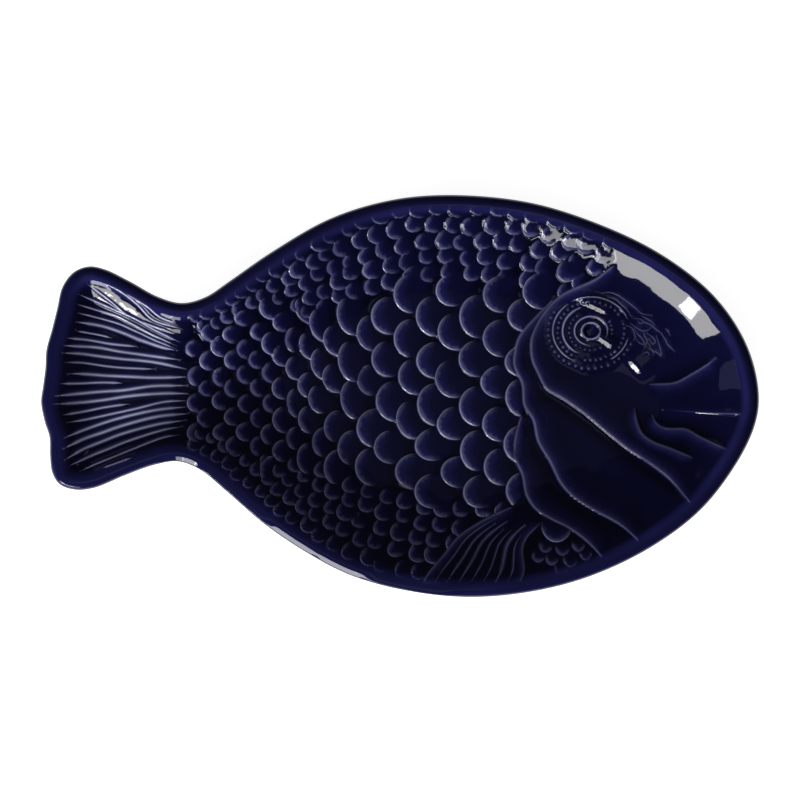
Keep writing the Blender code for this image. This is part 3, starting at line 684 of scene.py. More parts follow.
def scale_die():
    """Points, faces and tints of the unit scale that the mould repeats."""
    angles = 2 * math.pi * np.arange(SCALE_SIDES) / SCALE_SIDES
    verts = []
    tints = []
    for factor in SCALE_ROWS:
        plan = scale_arc(factor, angles)
        heights = scale_height(plan[:, 0], plan[:, 1], factor) - SCALE_UNDERCUT * (factor > SCALE_FALL[1])
        verts += list(np.column_stack([plan, heights]))
        tints += [(edge, glow, 0.0) for edge, glow in zip(*scale_tint(plan[:, 0], factor))]
    return verts, ring_faces(0, len(SCALE_ROWS), SCALE_SIDES), tints


def scale_cover(points):
    """Height of the highest scale over each point."""
    cover = np.zeros(len(points))
    for x, y, turn, depth, half, rise in SEATS:
        along, aside = turned(points, (x, y), turn)
        along, aside = along / depth, aside / half
        back = 1.0 - along
        factor = np.hypot(np.where(back > 0.0, back, back / SCALE_ROOT), aside)
        cover = np.maximum(cover, rise * scale_height(along, aside, factor))
    return cover


def open_arcs():
    """Plan points along the free edge of every scale, where no other scale lies over it."""
    rows = []
    reach = ARC_HALF_TURN * math.pi
    for seat in SEATS:
        angles = np.linspace(-reach, reach, ARC_POINTS[int(seat[4] > LARGE_SCALE)])
        inside = scale_arc(ARC_TEST_ROW, angles)
        own = seat[5] * scale_height(inside[:, 0], inside[:, 1], ARC_TEST_ROW)
        seen = angles[scale_cover(placed(seat, inside)) < own + ARC_TOLERANCE]
        count = int(np.clip(ARC_BAND * seat[3] / ARC_ROW_SPACING, *ARC_ROW_COUNT))
        rows += [placed(seat, scale_arc(factor, seen)) for factor in np.linspace(*ARC_ROWS, count + 1)]
    return np.vstack(rows)


# The unit bead
BEAD_SIDES = 10
BEAD_TILTS = (30, 60, 85, 100)
BEAD_PALE = 0.13
BEAD_FADE = 0.7
BEAD_HEIGHT = 0.8
BEAD_JITTER = 0.12


def bead_die():
    """Points, faces and tints of the unit bead: a low round button, palest on top."""
    verts = [(0.0, 0.0, 1.0)]
    tints = [(BEAD_PALE, 1.0, 0.0)]
    for tilt in np.radians(BEAD_TILTS):
        verts += [(x, y, math.cos(tilt)) for x, y in round_points((0.0, 0.0), math.sin(tilt), BEAD_SIDES)]
        tints += [(BEAD_PALE * max(0.0, math.cos(tilt)) ** BEAD_FADE, 1.0, 0.0)] * BEAD_SIDES
    faces = [(0, 1 + side, 1 + (side + 1) % BEAD_SIDES) for side in range(BEAD_SIDES)]
    return verts, faces + ring_faces(1, len(BEAD_TILTS), BEAD_SIDES), tints


def bead_seats():
    """One row (x, y, turn, two radii, height) for every bead round the eye."""
    random = np.random.default_rng(SEED)
    seats = []
    for radius, usual, count, start, end in EYE_BEADS:
        for angle in np.radians(np.arange(start, end, 360 / count)):
            place = np.array(EYE) + radius * np.array([math.cos(angle), EYE_FLAT * math.sin(angle)])
            place += BEAD_JITTER * random.normal(size=2)
            size = usual * (1.0 + BEAD_JITTER * random.normal())
            seats.append((*place * MM, angle, size * MM, size * MM, BEAD_HEIGHT * size * MM))
    return np.array(seats)


def ridge(line, width, ends, low):
    """A line with its width at each point, which thins to a low share over its two ends."""
    along = np.linspace(0.0, 1.0, len(line))
    return line, width * (low + (1.0 - low) * smooth_step(np.minimum(along, 1.0 - along), 0.0, ends))


def ray_paths():
    """(line, width at each point) of every ray of the tail."""
    return [ridge(relief_line(points), RAY_WIDTH * width * MM, *RAY_TAPER) for width, points in TAIL_RAYS]


def fin_ray_paths():
    """(line, width at each point) of every ray of the fin, ruled between its root and its rear edge."""
    paths = []
    stops = np.linspace(0.0, 1.0, 24)
    edges = []
    for edge in (FIN_UPPER, FIN_REAR[::-1]):
        edge = relief_line(edge, 0.002)
        edges.append(np.column_stack([np.interp(stops, np.linspace(0, 1, len(edge)), side) for side in edge.T]))
    for ray, (width, start) in enumerate(zip(FIN_RAY_WIDTHS, FIN_RAY_STARTS)):
        share = (ray + 1) / (len(FIN_RAY_WIDTHS) + 1)
        ruled = edges[0] + (edges[1] - edges[0]) * share
        line = respaced(ruled[int(start * len(ruled)):], ROW_SPACING)
        paths.append(ridge(line, width * MM, *FIN_RAY_TAPER))
    return paths


def eye_ring_paths():
    """(line, width at each point) of every ring of the eye."""
    paths = []
    for radius, width, start, end in EYE_RINGS:
        count = int(math.radians(end - start) * radius / EYE_RING_SPACING) + 1
        angles = np.radians(np.linspace(start, end, count))
        ring = np.array(EYE) + radius * np.column_stack([np.cos(angles), EYE_FLAT * np.sin(angles)])
        widths = width * MM * (1.0 - EYE_RING_WAVE + EYE_RING_WAVE * np.sin(3.0 * angles + radius))
        paths.append((ring * MM, widths) if end - start == 360 else ridge(ring * MM, widths, *EYE_RING_TAPER))
    return paths


def line_paths():
    """(line, width at each point) of every ray of the fin and every wrinkle beside the eye."""
    return fin_ray_paths() + [
        ridge(relief_line(points, WRINKLE_SPACING), WRINKLE_WIDTH * MM, *WRINKLE_TAPER) for points in BROW_WRINKLES
    ]


def fold_paths():
    """(line, width scale at each point) of every stepped edge. The steep side lies to the right of the line."""
    line = relief_line(MOUTH_EDGE)
    paths = [ridge(relief_line(points), size, *FOLD_TAPER) for points, size in FOLDS]
    return paths + [(line, np.linspace(*MOUTH_EDGE_SIZES, len(line)))]


def both_sides(half):
    """A section from its right half, with the same on its left."""
    return [(-right, *rest) for right, *rest in half[:0:-1]] + half


# Sections of narrow ridges of unit width, and of a stepped edge in metres.
# Each point is (distance to the right, height, pale edge of the glaze, cobalt glow).
RAY_SECTION = [
    (-2.20, 0.0, 0.0, 0.0), (-1.70, 0.06, 0.0, 0.20), (-1.20, 0.18, 0.0, 0.60), (-0.80, 0.32, 0.0, 0.95),
    (-0.45, 0.44, 0.12, 1.0), (-0.20, 0.49, 0.75, 1.0), (0.0, 0.50, 1.0, 1.0), (0.25, 0.46, 0.45, 0.80),
    (0.50, 0.35, 0.04, 0.40), (0.80, 0.19, 0.0, 0.15), (1.10, 0.06, 0.0, 0.0), (1.40, 0.0, 0.0, 0.0),
]
EYE_RING_SECTION = both_sides([
    (0.0, 0.66, 0.62, 1.0), (0.28, 0.50, 0.06, 0.9), (0.60, 0.22, 0.0, 0.3), (0.95, 0.0, 0.0, 0.0),
])
LINE_SECTION = both_sides([
    (0.0, 0.68, 0.23, 1.0), (0.15, 0.63, 0.15, 1.0), (0.5, 0.35, 0.02, 0.6), (0.85, 0.07, 0.0, 0.2),
    (1.05, 0.0, 0.0, 0.0),
])
FOLD_SECTION = [
    (-0.0150, 0.0, 0.0, 0.0), (-0.0105, 0.00024, 0.0, 0.01), (-0.0070, 0.00052, 0.0, 0.07),
    (-0.0042, 0.00085, 0.0, 0.22), (-0.0022, 0.00114, 0.0, 0.50), (-0.0011, 0.00131, 0.03, 0.90),
    (-0.0005, 0.00139, 0.12, 1.0), (-0.0001, 0.00136, 0.22, 1.0), (0.0002, 0.00118, 0.12, 0.6),
    (0.0005, 0.00078, 0.03, 0.3), (0.0008, 0.00036, 0.0, 0.1), (0.0011, 0.0, 0.0, 0.0),
]


class PointField:
    """Plan points that keep a least distance from each other."""

    cell = 0.0004

    def __init__(self):
        self.cells = {}
        self.points = []

    def add(self, points, apart):
        reach = math.ceil(apart / self.cell)
        for x, y in points:
            column = int(x // self.cell)
            row = int(y // self.cell)
            near = (
                (x - a) ** 2 + (y - b) ** 2 < apart * apart
                for i in range(column - reach, column + reach + 1)
                for j in range(row - reach, row + reach + 1)
                for a, b in self.cells.get((i, j), ())
            )
            if not any(near):
                self.cells.setdefault((column, row), []).append((x, y))
                self.points.append((x, y))


def hex_grid(spacing):
    """Points over the dish's plan in staggered rows."""
    low = OUTLINE_RING.min(axis=0)
    high = OUTLINE_RING.max(axis=0)
    rows = np.arange(low[1], high[1], spacing * math.sin(math.radians(60)))
    return np.array([
        (x, y)
        for number, y in enumerate(rows)
        for x in np.arange(low[0] + 0.5 * spacing * (number % 2), high[0], spacing)
    ])


def rim_rows(distances, spacing):
    """Points on lines at given distances in from the silhouette."""
    ring = respaced(OUTLINE_RING, spacing, True)
    rows = []
    for distance in distances:
        row = moved_in(ring, distance)
        rows.append(row[RIM.distance(row) > ROW_FIT * distance])
    return np.vstack(rows)


def round_points(centre, radius, count):
    turns = 2 * math.pi * np.arange(count) / count
    return np.array(centre) + radius * np.column_stack([np.cos(turns), np.sin(turns)])


def relief_points():
    """Plan points that follow every edge and ridge of the relief, so that the mesh shows them crisply."""
    rows = [rim_rows(LIP + np.array(SHOULDER_ROWS) * MM, RIM_SPACING)]
    for x, y, _, size in BEADS[:, :4]:
        rows += [[(x, y)]] + [round_points((x, y), share * size, count) for share, count in BEAD_ROWS]
    for paths, shares in ((ray_paths(), RAY_ROWS), (line_paths() + eye_ring_paths(), LINE_ROWS)):
        rows += [beside(line, share * widths.max()) for line, widths in paths for share in shares]
    rows += [beside(line, offset * MM) for line, _ in fold_paths() for offset in FOLD_ROWS]
    for radius in np.arange(*PUPIL_ROWS):
        rows.append(round_points(np.array(EYE) * MM, radius, max(6, int(2 * math.pi * radius / PUPIL_SPACING))))
    rows.append(open_arcs())
    grid = hex_grid(FINE_SPACING)
    mouth_x, mouth_y, mouth_reach = MOUTH_ROWS
    near = (np.abs(grid[:, 1] - mouth_y) < mouth_reach) & (grid[:, 0] > mouth_x)
    for place, _, run, _, reach, _ in BANKS:
        near |= np.linalg.norm(grid - np.array(place) * MM, axis=1) < (run + reach) * MM
    rows += [grid[near] + shift for shift in EXTRA_SHIFTS]
    field = PointField()
    field.add(np.vstack(rows), LEAST_SPACING)
    field.add(grid, GRID_APART * FINE_SPACING)
    points = np.array(field.points)
    return points[RIM.distance(points) > LIP + LEAST_SPACING]


# Zones of a skin from the outer wall over the foot ring to the panel inside it, and the shares of plain ones
OUTER_WALL, OUTER_STOP, STANDING, INNER_STOP, PANEL = range(5)
PLAIN_SHARES = (0.0, 0.0, 0.36)
SHOULDER_GLOW = (0.0018, 0.0025, 0.0055)


class Surface:
    """Points and faces of a skin. Each point has its zone, and its shares of relief, of scales and of glow."""

    def __init__(self):
        self.points = []
        self.zones = []
        self.shares = []
        self.faces = []

    def add_points(self, plan, heights, zone=OUTER_WALL, shares=PLAIN_SHARES):
        first = len(self.points)
        self.points += [(x, y, z) for (x, y), z in zip(plan, np.broadcast_to(heights, len(plan)))]
        self.zones += [zone] * len(plan)
        self.shares += [tuple(row) for row in np.broadcast_to(shares, (len(plan), 3))]
        return list(range(first, len(self.points)))

    def add_band(self, lower, upper):
        """Quads between two counter-clockwise rings, facing out."""
        count = len(lower)
        for index in range(count):
            after = (index + 1) % count
            self.faces.append((lower[index], lower[after], upper[after], upper[index]))

    def add_sheet(self, rings, loose, height_at, face_up):
        """Triangles inside the first ring, over the other rings and the loose points, given as numbers."""
        numbers = [number for ring in rings for number in ring] + loose
        plan = [self.points[number][:2] for number in numbers]
        edges = []
        first = 0
        for ring in rings:
            edges += [(first + i, first + (i + 1) % len(ring)) for i in range(len(ring))]
            first += len(ring)
        made, _, faces, sources, _, _ = geometry.delaunay_2d_cdt(plan, edges, [], 1, SAME_POINT)
        final = []
        for point, source in zip(made, sources):
            if source:
                final.append(numbers[source[0]])
            else:
                place = np.array([tuple(point)])
                final += self.add_points(place, height_at(place))
        for face in faces:
            corners = [final[index] for index in face]
            self.faces.append(tuple(corners if face_up else corners[::-1]))


def foot_oval(distance):
    angles = 2 * math.pi * np.arange(FOOT_SIDES) / FOOT_SIDES
    oval = np.column_stack([
        FOOT_X + FOOT_LENGTH / 2 * np.cos(angles),
        FOOT_Y + FOOT_BREADTH / 2 * np.sin(angles),
    ])
    return moved_in(oval, -distance)


def foot_loops(coat):
    """(ring, heights, zone) from the outside of the foot ring to its inside, under a coat of glaze."""
    half = FOOT_WIDTH / 2
    wall = half + FOOT_DRAFT
    stop = half + FOOT_DRAFT * (GLAZE_STOP / FOOT_HEIGHT)
    loops = []
    for side, stop_zone, wall_zone in ((1, OUTER_STOP, OUTER_WALL), (-1, INNER_STOP, PANEL)):
        reaches = (
            wall + FOOT_FILLET + coat, wall + FOOT_FILLET_BEND + coat, wall + coat,
            stop + GLAZE_BEAD[0] + 0.9 * coat, stop + 0.5 * coat, half, half - FOOT_BEVEL,
        )
        rings = [foot_oval(side * reach) for reach in reaches]
        root = under_height(rings[0], RIM.distance(rings[0])) - coat
        heights = (
            root, root - FOOT_FILLET_BEND, root - FOOT_FILLET,
            GLAZE_STOP + GLAZE_BEAD[1], GLAZE_STOP, FOOT_BEVEL, 0.0,
        )
        group = list(zip(rings, heights, [wall_zone] * 4 + [stop_zone, STANDING, STANDING]))
        loops += group if side > 0 else group[::-1]
    return loops


def stretch_share(ring, stretches):
    """1 on the given stretches of a ring and 0 away from them, eased between."""
    share = np.zeros(len(ring))
    for place, reach in stretches:
        gap = np.linalg.norm(ring - place, axis=1)
        share = np.maximum(share, 1.0 - smooth_step(gap, 0.6 * reach, 1.2 * reach))
    return share


def lip_rings(ring, inset):
    """(distance in, heights) of each ring from under the lip to its crest, at a depth below the glaze."""
    low = LIP_LOW - COAT + inset
    rings = []
    for turn in (90, 60, 30, 0):
        angle = math.radians(turn)
        rings.append((inset + EDGE_ROUND * (1 - math.cos(angle)), low + EDGE_ROUND * (1 - math.sin(angle))))
    flat = stretch_share(ring, FLAT_LIPS)
    power = LIP_POWER + (SHARP_LIP_POWER - LIP_POWER) * stretch_share(ring, SHARP_LIPS)
    width = LIP - inset
    for share in LIP_ROWS:
        drop = LIP_HEIGHT * (1.0 - (1.0 - share**power) ** (1.0 / power))
        run = width * min(share, LIP_EDGE_SHARE)
        if share > LIP_BEND:
            even = LIP_SLOPE * (run - width * LIP_BEND / 2)
        else:
            even = LIP_SLOPE * run * share / LIP_BEND / 2
        even += (LIP_HEIGHT - even) * max(0.0, (share - LIP_EDGE_SHARE) / (1.0 - LIP_EDGE_SHARE))
        rings.append((LIP - width * share, GLAZE_TOP - inset - drop - flat * (even - drop)))
    return rings


def inside_shares(plan, distance, pressed):
    """Shares of relief, of scales and of glow at each point of the inside. The scale share grows toward the tail,
    partly as painted light.
    """
    press = pressed * smooth_step(distance, RELIEF_EDGE, RELIEF_EDGE + RELIEF_RISE)
    scaled = scaled_share(plan) * smooth_step(distance, RELIEF_EDGE - SCALE_FADE_START, RELIEF_EDGE + SCALE_FADE)
    plain = PLAIN_SHARES[2]
    shoulder = plain + (1.0 - plain) * smooth_step(distance, LIP, LIP + SHOULDER_GLOW[0])
    glow = shoulder * (1.0 - smooth_step(distance, LIP + SHOULDER_GLOW[1], LIP + SHOULDER_GLOW[2]))
    # The scale share grows toward the tail: taller scales there, and their glaze marks brightened as painted light.
    return np.column_stack([press, scaled * grown(plan[:, 0], TAIL_SCALE_LIFT_AND_PAINTED_LIGHT), glow])


def under_points(spacing, edge):
    """Plan points of the underside, past a distance in from the silhouette and clear of the foot ring."""
    field = PointField()
    field.add(rim_rows(np.array(UNDER_ROWS) * MM, spacing), 0.5 * spacing)
    field.add(hex_grid(spacing), GRID_APART * spacing)
    points = np.array(field.points)
    points = points[RIM.distance(points) > edge]
    gaps = np.linalg.norm(points[:, None] - foot_oval(0.0)[None], axis=2).min(axis=1)
    return points[gaps > FOOT_WIDTH / 2 + FOOT_DRAFT + FOOT_CLEARANCE]


def dish_surface(inset, spacing, plan, under_spacing, pressed):
    """The whole surface of the dish at a depth below the glaze, over plan points for its inside."""
    surface = Surface()
    coat = COAT - inset

    def inside_at(points):
        return inside_height(points, RIM.distance(points)) - inset

    def under_at(points):
        return under_height(points, RIM.distance(points)) - coat

    ring = respaced(OUTLINE_RING, spacing, True)
    rings = lip_rings(ring, inset)
    loops = [surface.add_points(moved_in(ring, distance), heights) for distance, heights in rings]
    for lower, upper in zip(loops, loops[1:]):
        surface.add_band(lower, upper)
    shares = inside_shares(plan, RIM.distance(plan), pressed)
    loose = surface.add_points(plan, inside_at(plan), shares=shares)
    surface.add_sheet([loops[-1]], loose, inside_at, True)

    under = under_points(under_spacing, rings[0][0] + UNDER_EDGE)
    across = (under[:, 0] - FOOT_X) / (FOOT_LENGTH / 2)
    up = (under[:, 1] - FOOT_Y) / (FOOT_BREADTH / 2)
    within = across**2 + up**2 < 1.0
    feet = [surface.add_points(*loop) for loop in foot_loops(coat)]
    loose = surface.add_points(under[~within], under_at(under[~within]))
    loose += surface.add_points(under[within], under_at(under[within]), PANEL)
    surface.add_sheet([loops[0]] + feet, loose, under_at, False)
    return surface


def kept_part(surface, keeps):
    """Points, shares and faces of the chosen zones, and the numbers of the points along their cut."""
    faces = [face for face in surface.faces if keeps([surface.zones[number] for number in face])]
    used = sorted({number for face in faces for number in face})
    place = {number: index for index, number in enumerate(used)}
    points = [surface.points[number] for number in used]
    shares = [surface.shares[number] for number in used]
    stops = [place[n] for n in used if surface.zones[n] in (OUTER_STOP, INNER_STOP)]
    return points, shares, [tuple(place[number] for number in face) for face in faces], stops


def glaze_shell(outer, inner, keeps, stop_out):
    """A closed coat of glaze between two skins, joined along the line where it stops on the foot ring."""
    points, shares, faces, stops = kept_part(outer, keeps)
    more_points, more_shares, more_faces, more_stops = kept_part(inner, keeps)
    first = len(points)
    faces += [tuple(first + number for number in face[::-1]) for face in more_faces]
    inner_stops = [first + number for number in more_stops]
    count = len(stops)
    for index in range(count):
        after = (index + 1) % count
        quad = (stops[index], inner_stops[index], inner_stops[after], stops[after])
        faces.append(quad if stop_out else quad[::-1])
    return points + more_points, shares + more_shares, faces


def plain_object(name, data):
    thing = bpy.data.objects.new(name, data)
    bpy.context.scene.collection.objects.link(thing)
    return thing


def mesh_object(name, points, faces, edges=(), **attributes):
    mesh = bpy.data.meshes.new(name)
    mesh.from_pydata([tuple(point) for point in points], edges, faces)
    for title, values in attributes.items():
        values = np.array(values, float)
        kind, field = ("FLOAT_VECTOR", "vector") if values.ndim == 2 else ("FLOAT", "value")
        mesh.attributes.new(title, kind, "POINT").data.foreach_set(field, values.ravel())
    mesh.update()
    return plain_object(name, mesh)


def path_object(name, paths):
    """Flat lines with a width at each point, as one curve object."""
    curve = bpy.data.curves.new(name, "CURVE")
    curve.dimensions = "3D"
    curve.twist_mode = "Z_UP"
    for line, widths in paths:
        path = curve.splines.new("POLY")
        path.points.add(len(line) - 1)
        for point, (x, y), width in zip(path.points, line, widths):
            point.co = (x, y, 0.0, 1.0)
            point.radius = width
    return plain_object(name, curve)


def section_object(name, section):
    points = [(right, -height, 0.0) for right, height, _, _ in section]
    edges = [(number, number + 1) for number in range(len(section) - 1)]
    return mesh_object(name, points, [], edges, tint=[(edge, glow, 0.0) for _, _, edge, glow in section])


def seat_object(name, seats):
    points = [(x, y, 0.0) for x, y in seats[:, :2]]
    return mesh_object(name, points, [], turn=seats[:, 2], size=seats[:, 3:6])


def set_inputs(tree, node, inputs):
    """Links or sets inputs of a node."""
    for name, value in inputs.items():
        if isinstance(value, bpy.types.NodeSocket):
            tree.links.new(value, node.inputs[name])
        else:
            node.inputs[name].default_value = value


def put_node(tree, kind, inputs=None, **settings):
    """The outputs of a new node with its settings made and its inputs linked or set."""
    node = tree.nodes.new(kind)
    for name, value in settings.items():
        setattr(node, name, value)
    set_inputs(tree, node, inputs or {})
    return node.outputs


def new_tree(name, kind, inputs, title, output):
    """A node tree with named inputs and one output: the tree, the sockets of its inputs, and its output node."""
    tree = bpy.data.node_groups.new(name, kind)
    for given, socket in inputs.items():
        tree.interface.new_socket(given, in_out="INPUT", socket_type="NodeSocket" + socket)
    tree.interface.new_socket(title, in_out="OUTPUT", socket_type="NodeSocket" + output)
    return tree, put_node(tree, "NodeGroupInput"), tree.nodes.new("NodeGroupOutput")


def maths(tree, operation, first, second):
    return put_node(tree, "ShaderNodeMath", {0: first, 1: second}, operation=operation)[0]


def vector_maths(tree, operation, first, second):
    return put_node(tree, "ShaderNodeVectorMath", {0: first, 1: second}, operation=operation)[0]


def parts_of(tree, vector):
    return put_node(tree, "ShaderNodeSeparateXYZ", {"Vector": vector})


def vector_of(tree, **parts):
    return put_node(tree, "ShaderNodeCombineXYZ", parts)[0]


def mapped(tree, value, low, high, to_low=0.0, to_high=1.0):
    """A value moved from one range to another."""
    return put_node(tree, "ShaderNodeMapRange", {
        "Value": value, "From Min": low, "From Max": high, "To Min": to_low, "To Max": to_high,
    })[0]


def noted(tree, name, kind="FLOAT_VECTOR"):
    """A value that each point carries."""
    return put_node(tree, "GeometryNodeInputNamedAttribute", {"Name": name}, data_type=kind)["Attribute"]


def note(tree, shape, name, value, kind="FLOAT_VECTOR"):
    """A shape whose points carry a value."""
    inputs = {"Geometry": shape, "Name": name, "Value": value}
    return put_node(tree, "GeometryNodeStoreNamedAttribute", inputs, data_type=kind, domain="POINT")[0]


def shape_of(tree, thing):
    return put_node(tree, "GeometryNodeObjectInfo", {"Object": thing})["Geometry"]


def finish_tree(tree, shape, material, output):
    real = put_node(tree, "GeometryNodeRealizeInstances", {"Geometry": shape})
    dressed = put_node(tree, "GeometryNodeSetMaterial", {"Geometry": real[0], "Material": material})
    set_inputs(tree, output, {0: dressed[0]})
    return tree


def repeated(tree, seats, die):
    """The die on every seat, turned and sized by the seat's own values."""
    euler = vector_of(tree, Z=noted(tree, "turn", "FLOAT"))
    return put_node(tree, "GeometryNodeInstanceOnPoints", {
        "Points": seats,
        "Instance": shape_of(tree, die),
        "Rotation": put_node(tree, "FunctionNodeEulerToRotation", {"Euler": euler})[0],
        "Scale": noted(tree, "size"),
    })[0]


FULL_TINT_WIDTH = 0.0005


def swept(tree, paths, section):
    """The section drawn along every path, sized by the path's width. Its glaze marks fade where it is narrow."""
    width = put_node(tree, "GeometryNodeInputRadius")[0]
    drawn = put_node(tree, "GeometryNodeCurveToMesh", {
        "Curve": note(tree, shape_of(tree, paths), "width", width, "FLOAT"),
        "Profile Curve": put_node(tree, "GeometryNodeMeshToCurve", {0: shape_of(tree, section)})[0],
        "Scale": width,
    })
    share = maths(tree, "MINIMUM", maths(tree, "DIVIDE", noted(tree, "width", "FLOAT"), FULL_TINT_WIDTH), 1.0)
    return note(tree, drawn[0], "tint", vector_maths(tree, "MULTIPLY", noted(tree, "tint"), share))


def mould_tree():
    """A mould laid flat: a die on every seat, and a section drawn along every path."""
    tree, given, output = new_tree("relief mould", "GeometryNodeTree", {
        "Geometry": "Geometry", "Die": "Object", "Paths": "Object", "Section": "Object", "Material": "Material",
    }, "Geometry", "Geometry")
    joined = tree.nodes.new("GeometryNodeJoinGeometry")
    set_inputs(tree, joined, {0: repeated(tree, given["Geometry"], given["Die"])})
    set_inputs(tree, joined, {0: swept(tree, given["Paths"], given["Section"])})
    return finish_tree(tree, joined.outputs[0], given["Material"], output)


LAYERS = ("Scales", "Folds", "Rays", "Lines", "Rings")
MOULD_REACH = 0.05


def read_mould(tree, mould, above):
    """Height and tints of a mould under every point of a skin."""
    ray = put_node(tree, "GeometryNodeRaycast", {
        "Target Geometry": shape_of(tree, mould), "Attribute": noted(tree, "tint"), "Source Position": above,
        "Ray Direction": (0.0, 0.0, -1.0), "Ray Length": MOULD_REACH,
    }, data_type="FLOAT_VECTOR")
    height = parts_of(tree, ray["Hit Position"])["Z"]
    return maths(tree, "MULTIPLY", height, ray["Is Hit"]), ray["Attribute"]


def press_tree():
    """Lifts a skin onto the moulds below it, and notes where the glaze breaks, runs thin or pools."""
    tree, given, output = new_tree("pressed relief", "GeometryNodeTree", {
        "Geometry": "Geometry", **dict.fromkeys(LAYERS, "Object"),
        "Rounding": "Int", "Pool Reach": "Int", "Pool Gain": "Float", "Material": "Material",
    }, "Geometry", "Geometry")
    plan = parts_of(tree, put_node(tree, "GeometryNodeInputPosition")[0])
    above = vector_of(tree, X=plan["X"], Y=plan["Y"], Z=MOULD_REACH)
    shares = parts_of(tree, noted(tree, "shares"))
    press, scaled, glow = (shares[axis] for axis in "XYZ")
    heights = {}
    tints = {}
    for name in LAYERS:
        heights[name], tints[name] = read_mould(tree, given[name], above)
    plates = maths(tree, "MAXIMUM", maths(tree, "MULTIPLY", heights["Scales"], scaled), heights["Folds"])
    ridges = maths(tree, "MAXIMUM", maths(tree, "MAXIMUM", heights["Rays"], heights["Lines"]), heights["Rings"])
    lift = maths(tree, "MULTIPLY", maths(tree, "ADD", plates, ridges), press)
    rounded, wide = (
        put_node(tree, "GeometryNodeBlurAttribute", {"Value": lift, "Iterations": given[name]})[0]
        for name in ("Rounding", "Pool Reach")
    )
    # The scale share, larger toward the tail, also brightens the scales' pale edges and glow there as painted light.
    tint = vector_maths(tree, "MULTIPLY", tints["Scales"], scaled)
    for name in LAYERS[1:]:
        tint = vector_maths(tree, "MAXIMUM", tint, tints[name])
    tint = parts_of(tree, vector_maths(tree, "MULTIPLY", tint, press))
    marks = vector_of(
        tree,
        X=tint["X"],
        Y=maths(tree, "MAXIMUM", tint["Y"], glow),
        Z=maths(tree, "MULTIPLY", maths(tree, "SUBTRACT", wide, rounded), given["Pool Gain"]),
    )
    marked = note(tree, given["Geometry"], "glaze_tint", marks)
    moved = put_node(tree, "GeometryNodeSetPosition", {"Geometry": marked, "Offset": vector_of(tree, Z=rounded)})
    return finish_tree(tree, moved[0], given["Material"], output)


def made_by_nodes(thing, tree, values):
    """Turns an object into the plain mesh that a tree makes of it."""
    modifier = thing.modifiers.new(tree.name, "NODES")
    modifier.node_group = tree
    sockets = {item.name: item.identifier for item in tree.interface.items_tree if item.in_out == "INPUT"}
    for name, value in values.items():
        modifier[sockets[name]] = value
    depsgraph = bpy.context.evaluated_depsgraph_get()
    mesh = bpy.data.meshes.new_from_object(
        thing.evaluated_get(depsgraph), preserve_all_data_layers=True, depsgraph=depsgraph
    )
    thing.modifiers.remove(modifier)
    thing.data = mesh
    mesh.name = thing.name


# Colours of the glaze, the clay and the floor, and how finely the glaze drifts in colour
WHITE = (1.0, 1.0, 1.0, 1.0)
POOLED_GLAZE = (0.0007, 0.0009, 0.0085, 1.0)
THIN_GLAZE = (0.0165, 0.0165, 0.1080, 1.0)
COAT_GLAZE = (0.0030, 0.0032, 0.0275, 1.0)
COAT_BROKEN = (0.600, 0.630, 0.860, 1.0)
BASE_GLAZE = (0.0030, 0.0032, 0.0280, 1.0)
BASE_BROKEN = (0.500, 0.520, 0.740, 1.0)
DARK_CLAY = (0.50, 0.42, 0.33, 1.0)
PALE_CLAY = (0.60, 0.53, 0.44, 1.0)
CLAY_SPECKS = (0.25, 0.18, 0.12, 1.0)
FLOOR_GREY = (0.86, 0.86, 0.86, 1.0)
COAT_DRIFT = 40.0
BASE_DRIFT = 55.0

# Grain of the fired surfaces, as (scale, detail, strength, depth)
GLAZE_GRAIN = (160.0, 1.5, 0.10, 0.0006)
CLAY_GRAIN = (1500.0, 5.0, 0.35, 0.0003)


def colour_mix(tree, share, first, second):
    return put_node(tree, "ShaderNodeMix", {0: share, 6: first, 7: second}, data_type="RGBA")[2]


def noise(tree, scale, detail):
    place = put_node(tree, "ShaderNodeTexCoord")["Object"]
    return put_node(tree, "ShaderNodeTexNoise", {"Vector": place, "Scale": scale, "Detail": detail})[0]


def glaze_depth_group():
    """Colour of the glaze: dark where it pools, cobalt where it runs thin, and pale where it breaks over an edge."""
    tree, given, output = new_tree("glaze depth", "ShaderNodeTree", {
        **dict.fromkeys(("Break", "Glow", "Pool"), "Float"),
        **dict.fromkeys(("Pooled", "Body", "Thin", "Broken"), "Color"),
        "Drift Scale": "Float",
    }, "Colour", "Color")
    cloud = mapped(tree, noise(tree, given["Drift Scale"], 3.0), 0.3, 0.7, 0.55, 1.0)
    pooled = put_node(tree, "ShaderNodeClamp", {"Value": given["Pool"]})[0]
    colour = colour_mix(tree, pooled, given["Body"], given["Pooled"])
    for mark, mixed in (("Glow", "Thin"), ("Break", "Broken")):
        colour = colour_mix(tree, maths(tree, "MULTIPLY", given[mark], cloud), colour, given[mixed])
    set_inputs(tree, output, {0: colour})
    return tree


def fired_grain_group():
    """Fine grain of a fired surface, as a height."""
    tree, given, output = new_tree(
        "fired grain", "ShaderNodeTree", {"Grain Scale": "Float", "Grain Detail": "Float"}, "Height", "Float"
    )
    set_inputs(tree, output, {0: noise(tree, given["Grain Scale"], given["Grain Detail"])})
    return tree


def new_material(name):
    material = bpy.data.materials.new(name)
    material.use_nodes = True
    return material, material.node_tree, material.node_tree.nodes["Principled BSDF"]


def grain_bump(tree, group, scale, detail, strength, depth):
    grain = put_node(tree, "ShaderNodeGroup", {"Grain Scale": scale, "Grain Detail": detail}, node_tree=group)
    inputs = {"Height": grain["Height"], "Strength": strength, "Distance": depth}
    return put_node(tree, "ShaderNodeBump", inputs)[0]


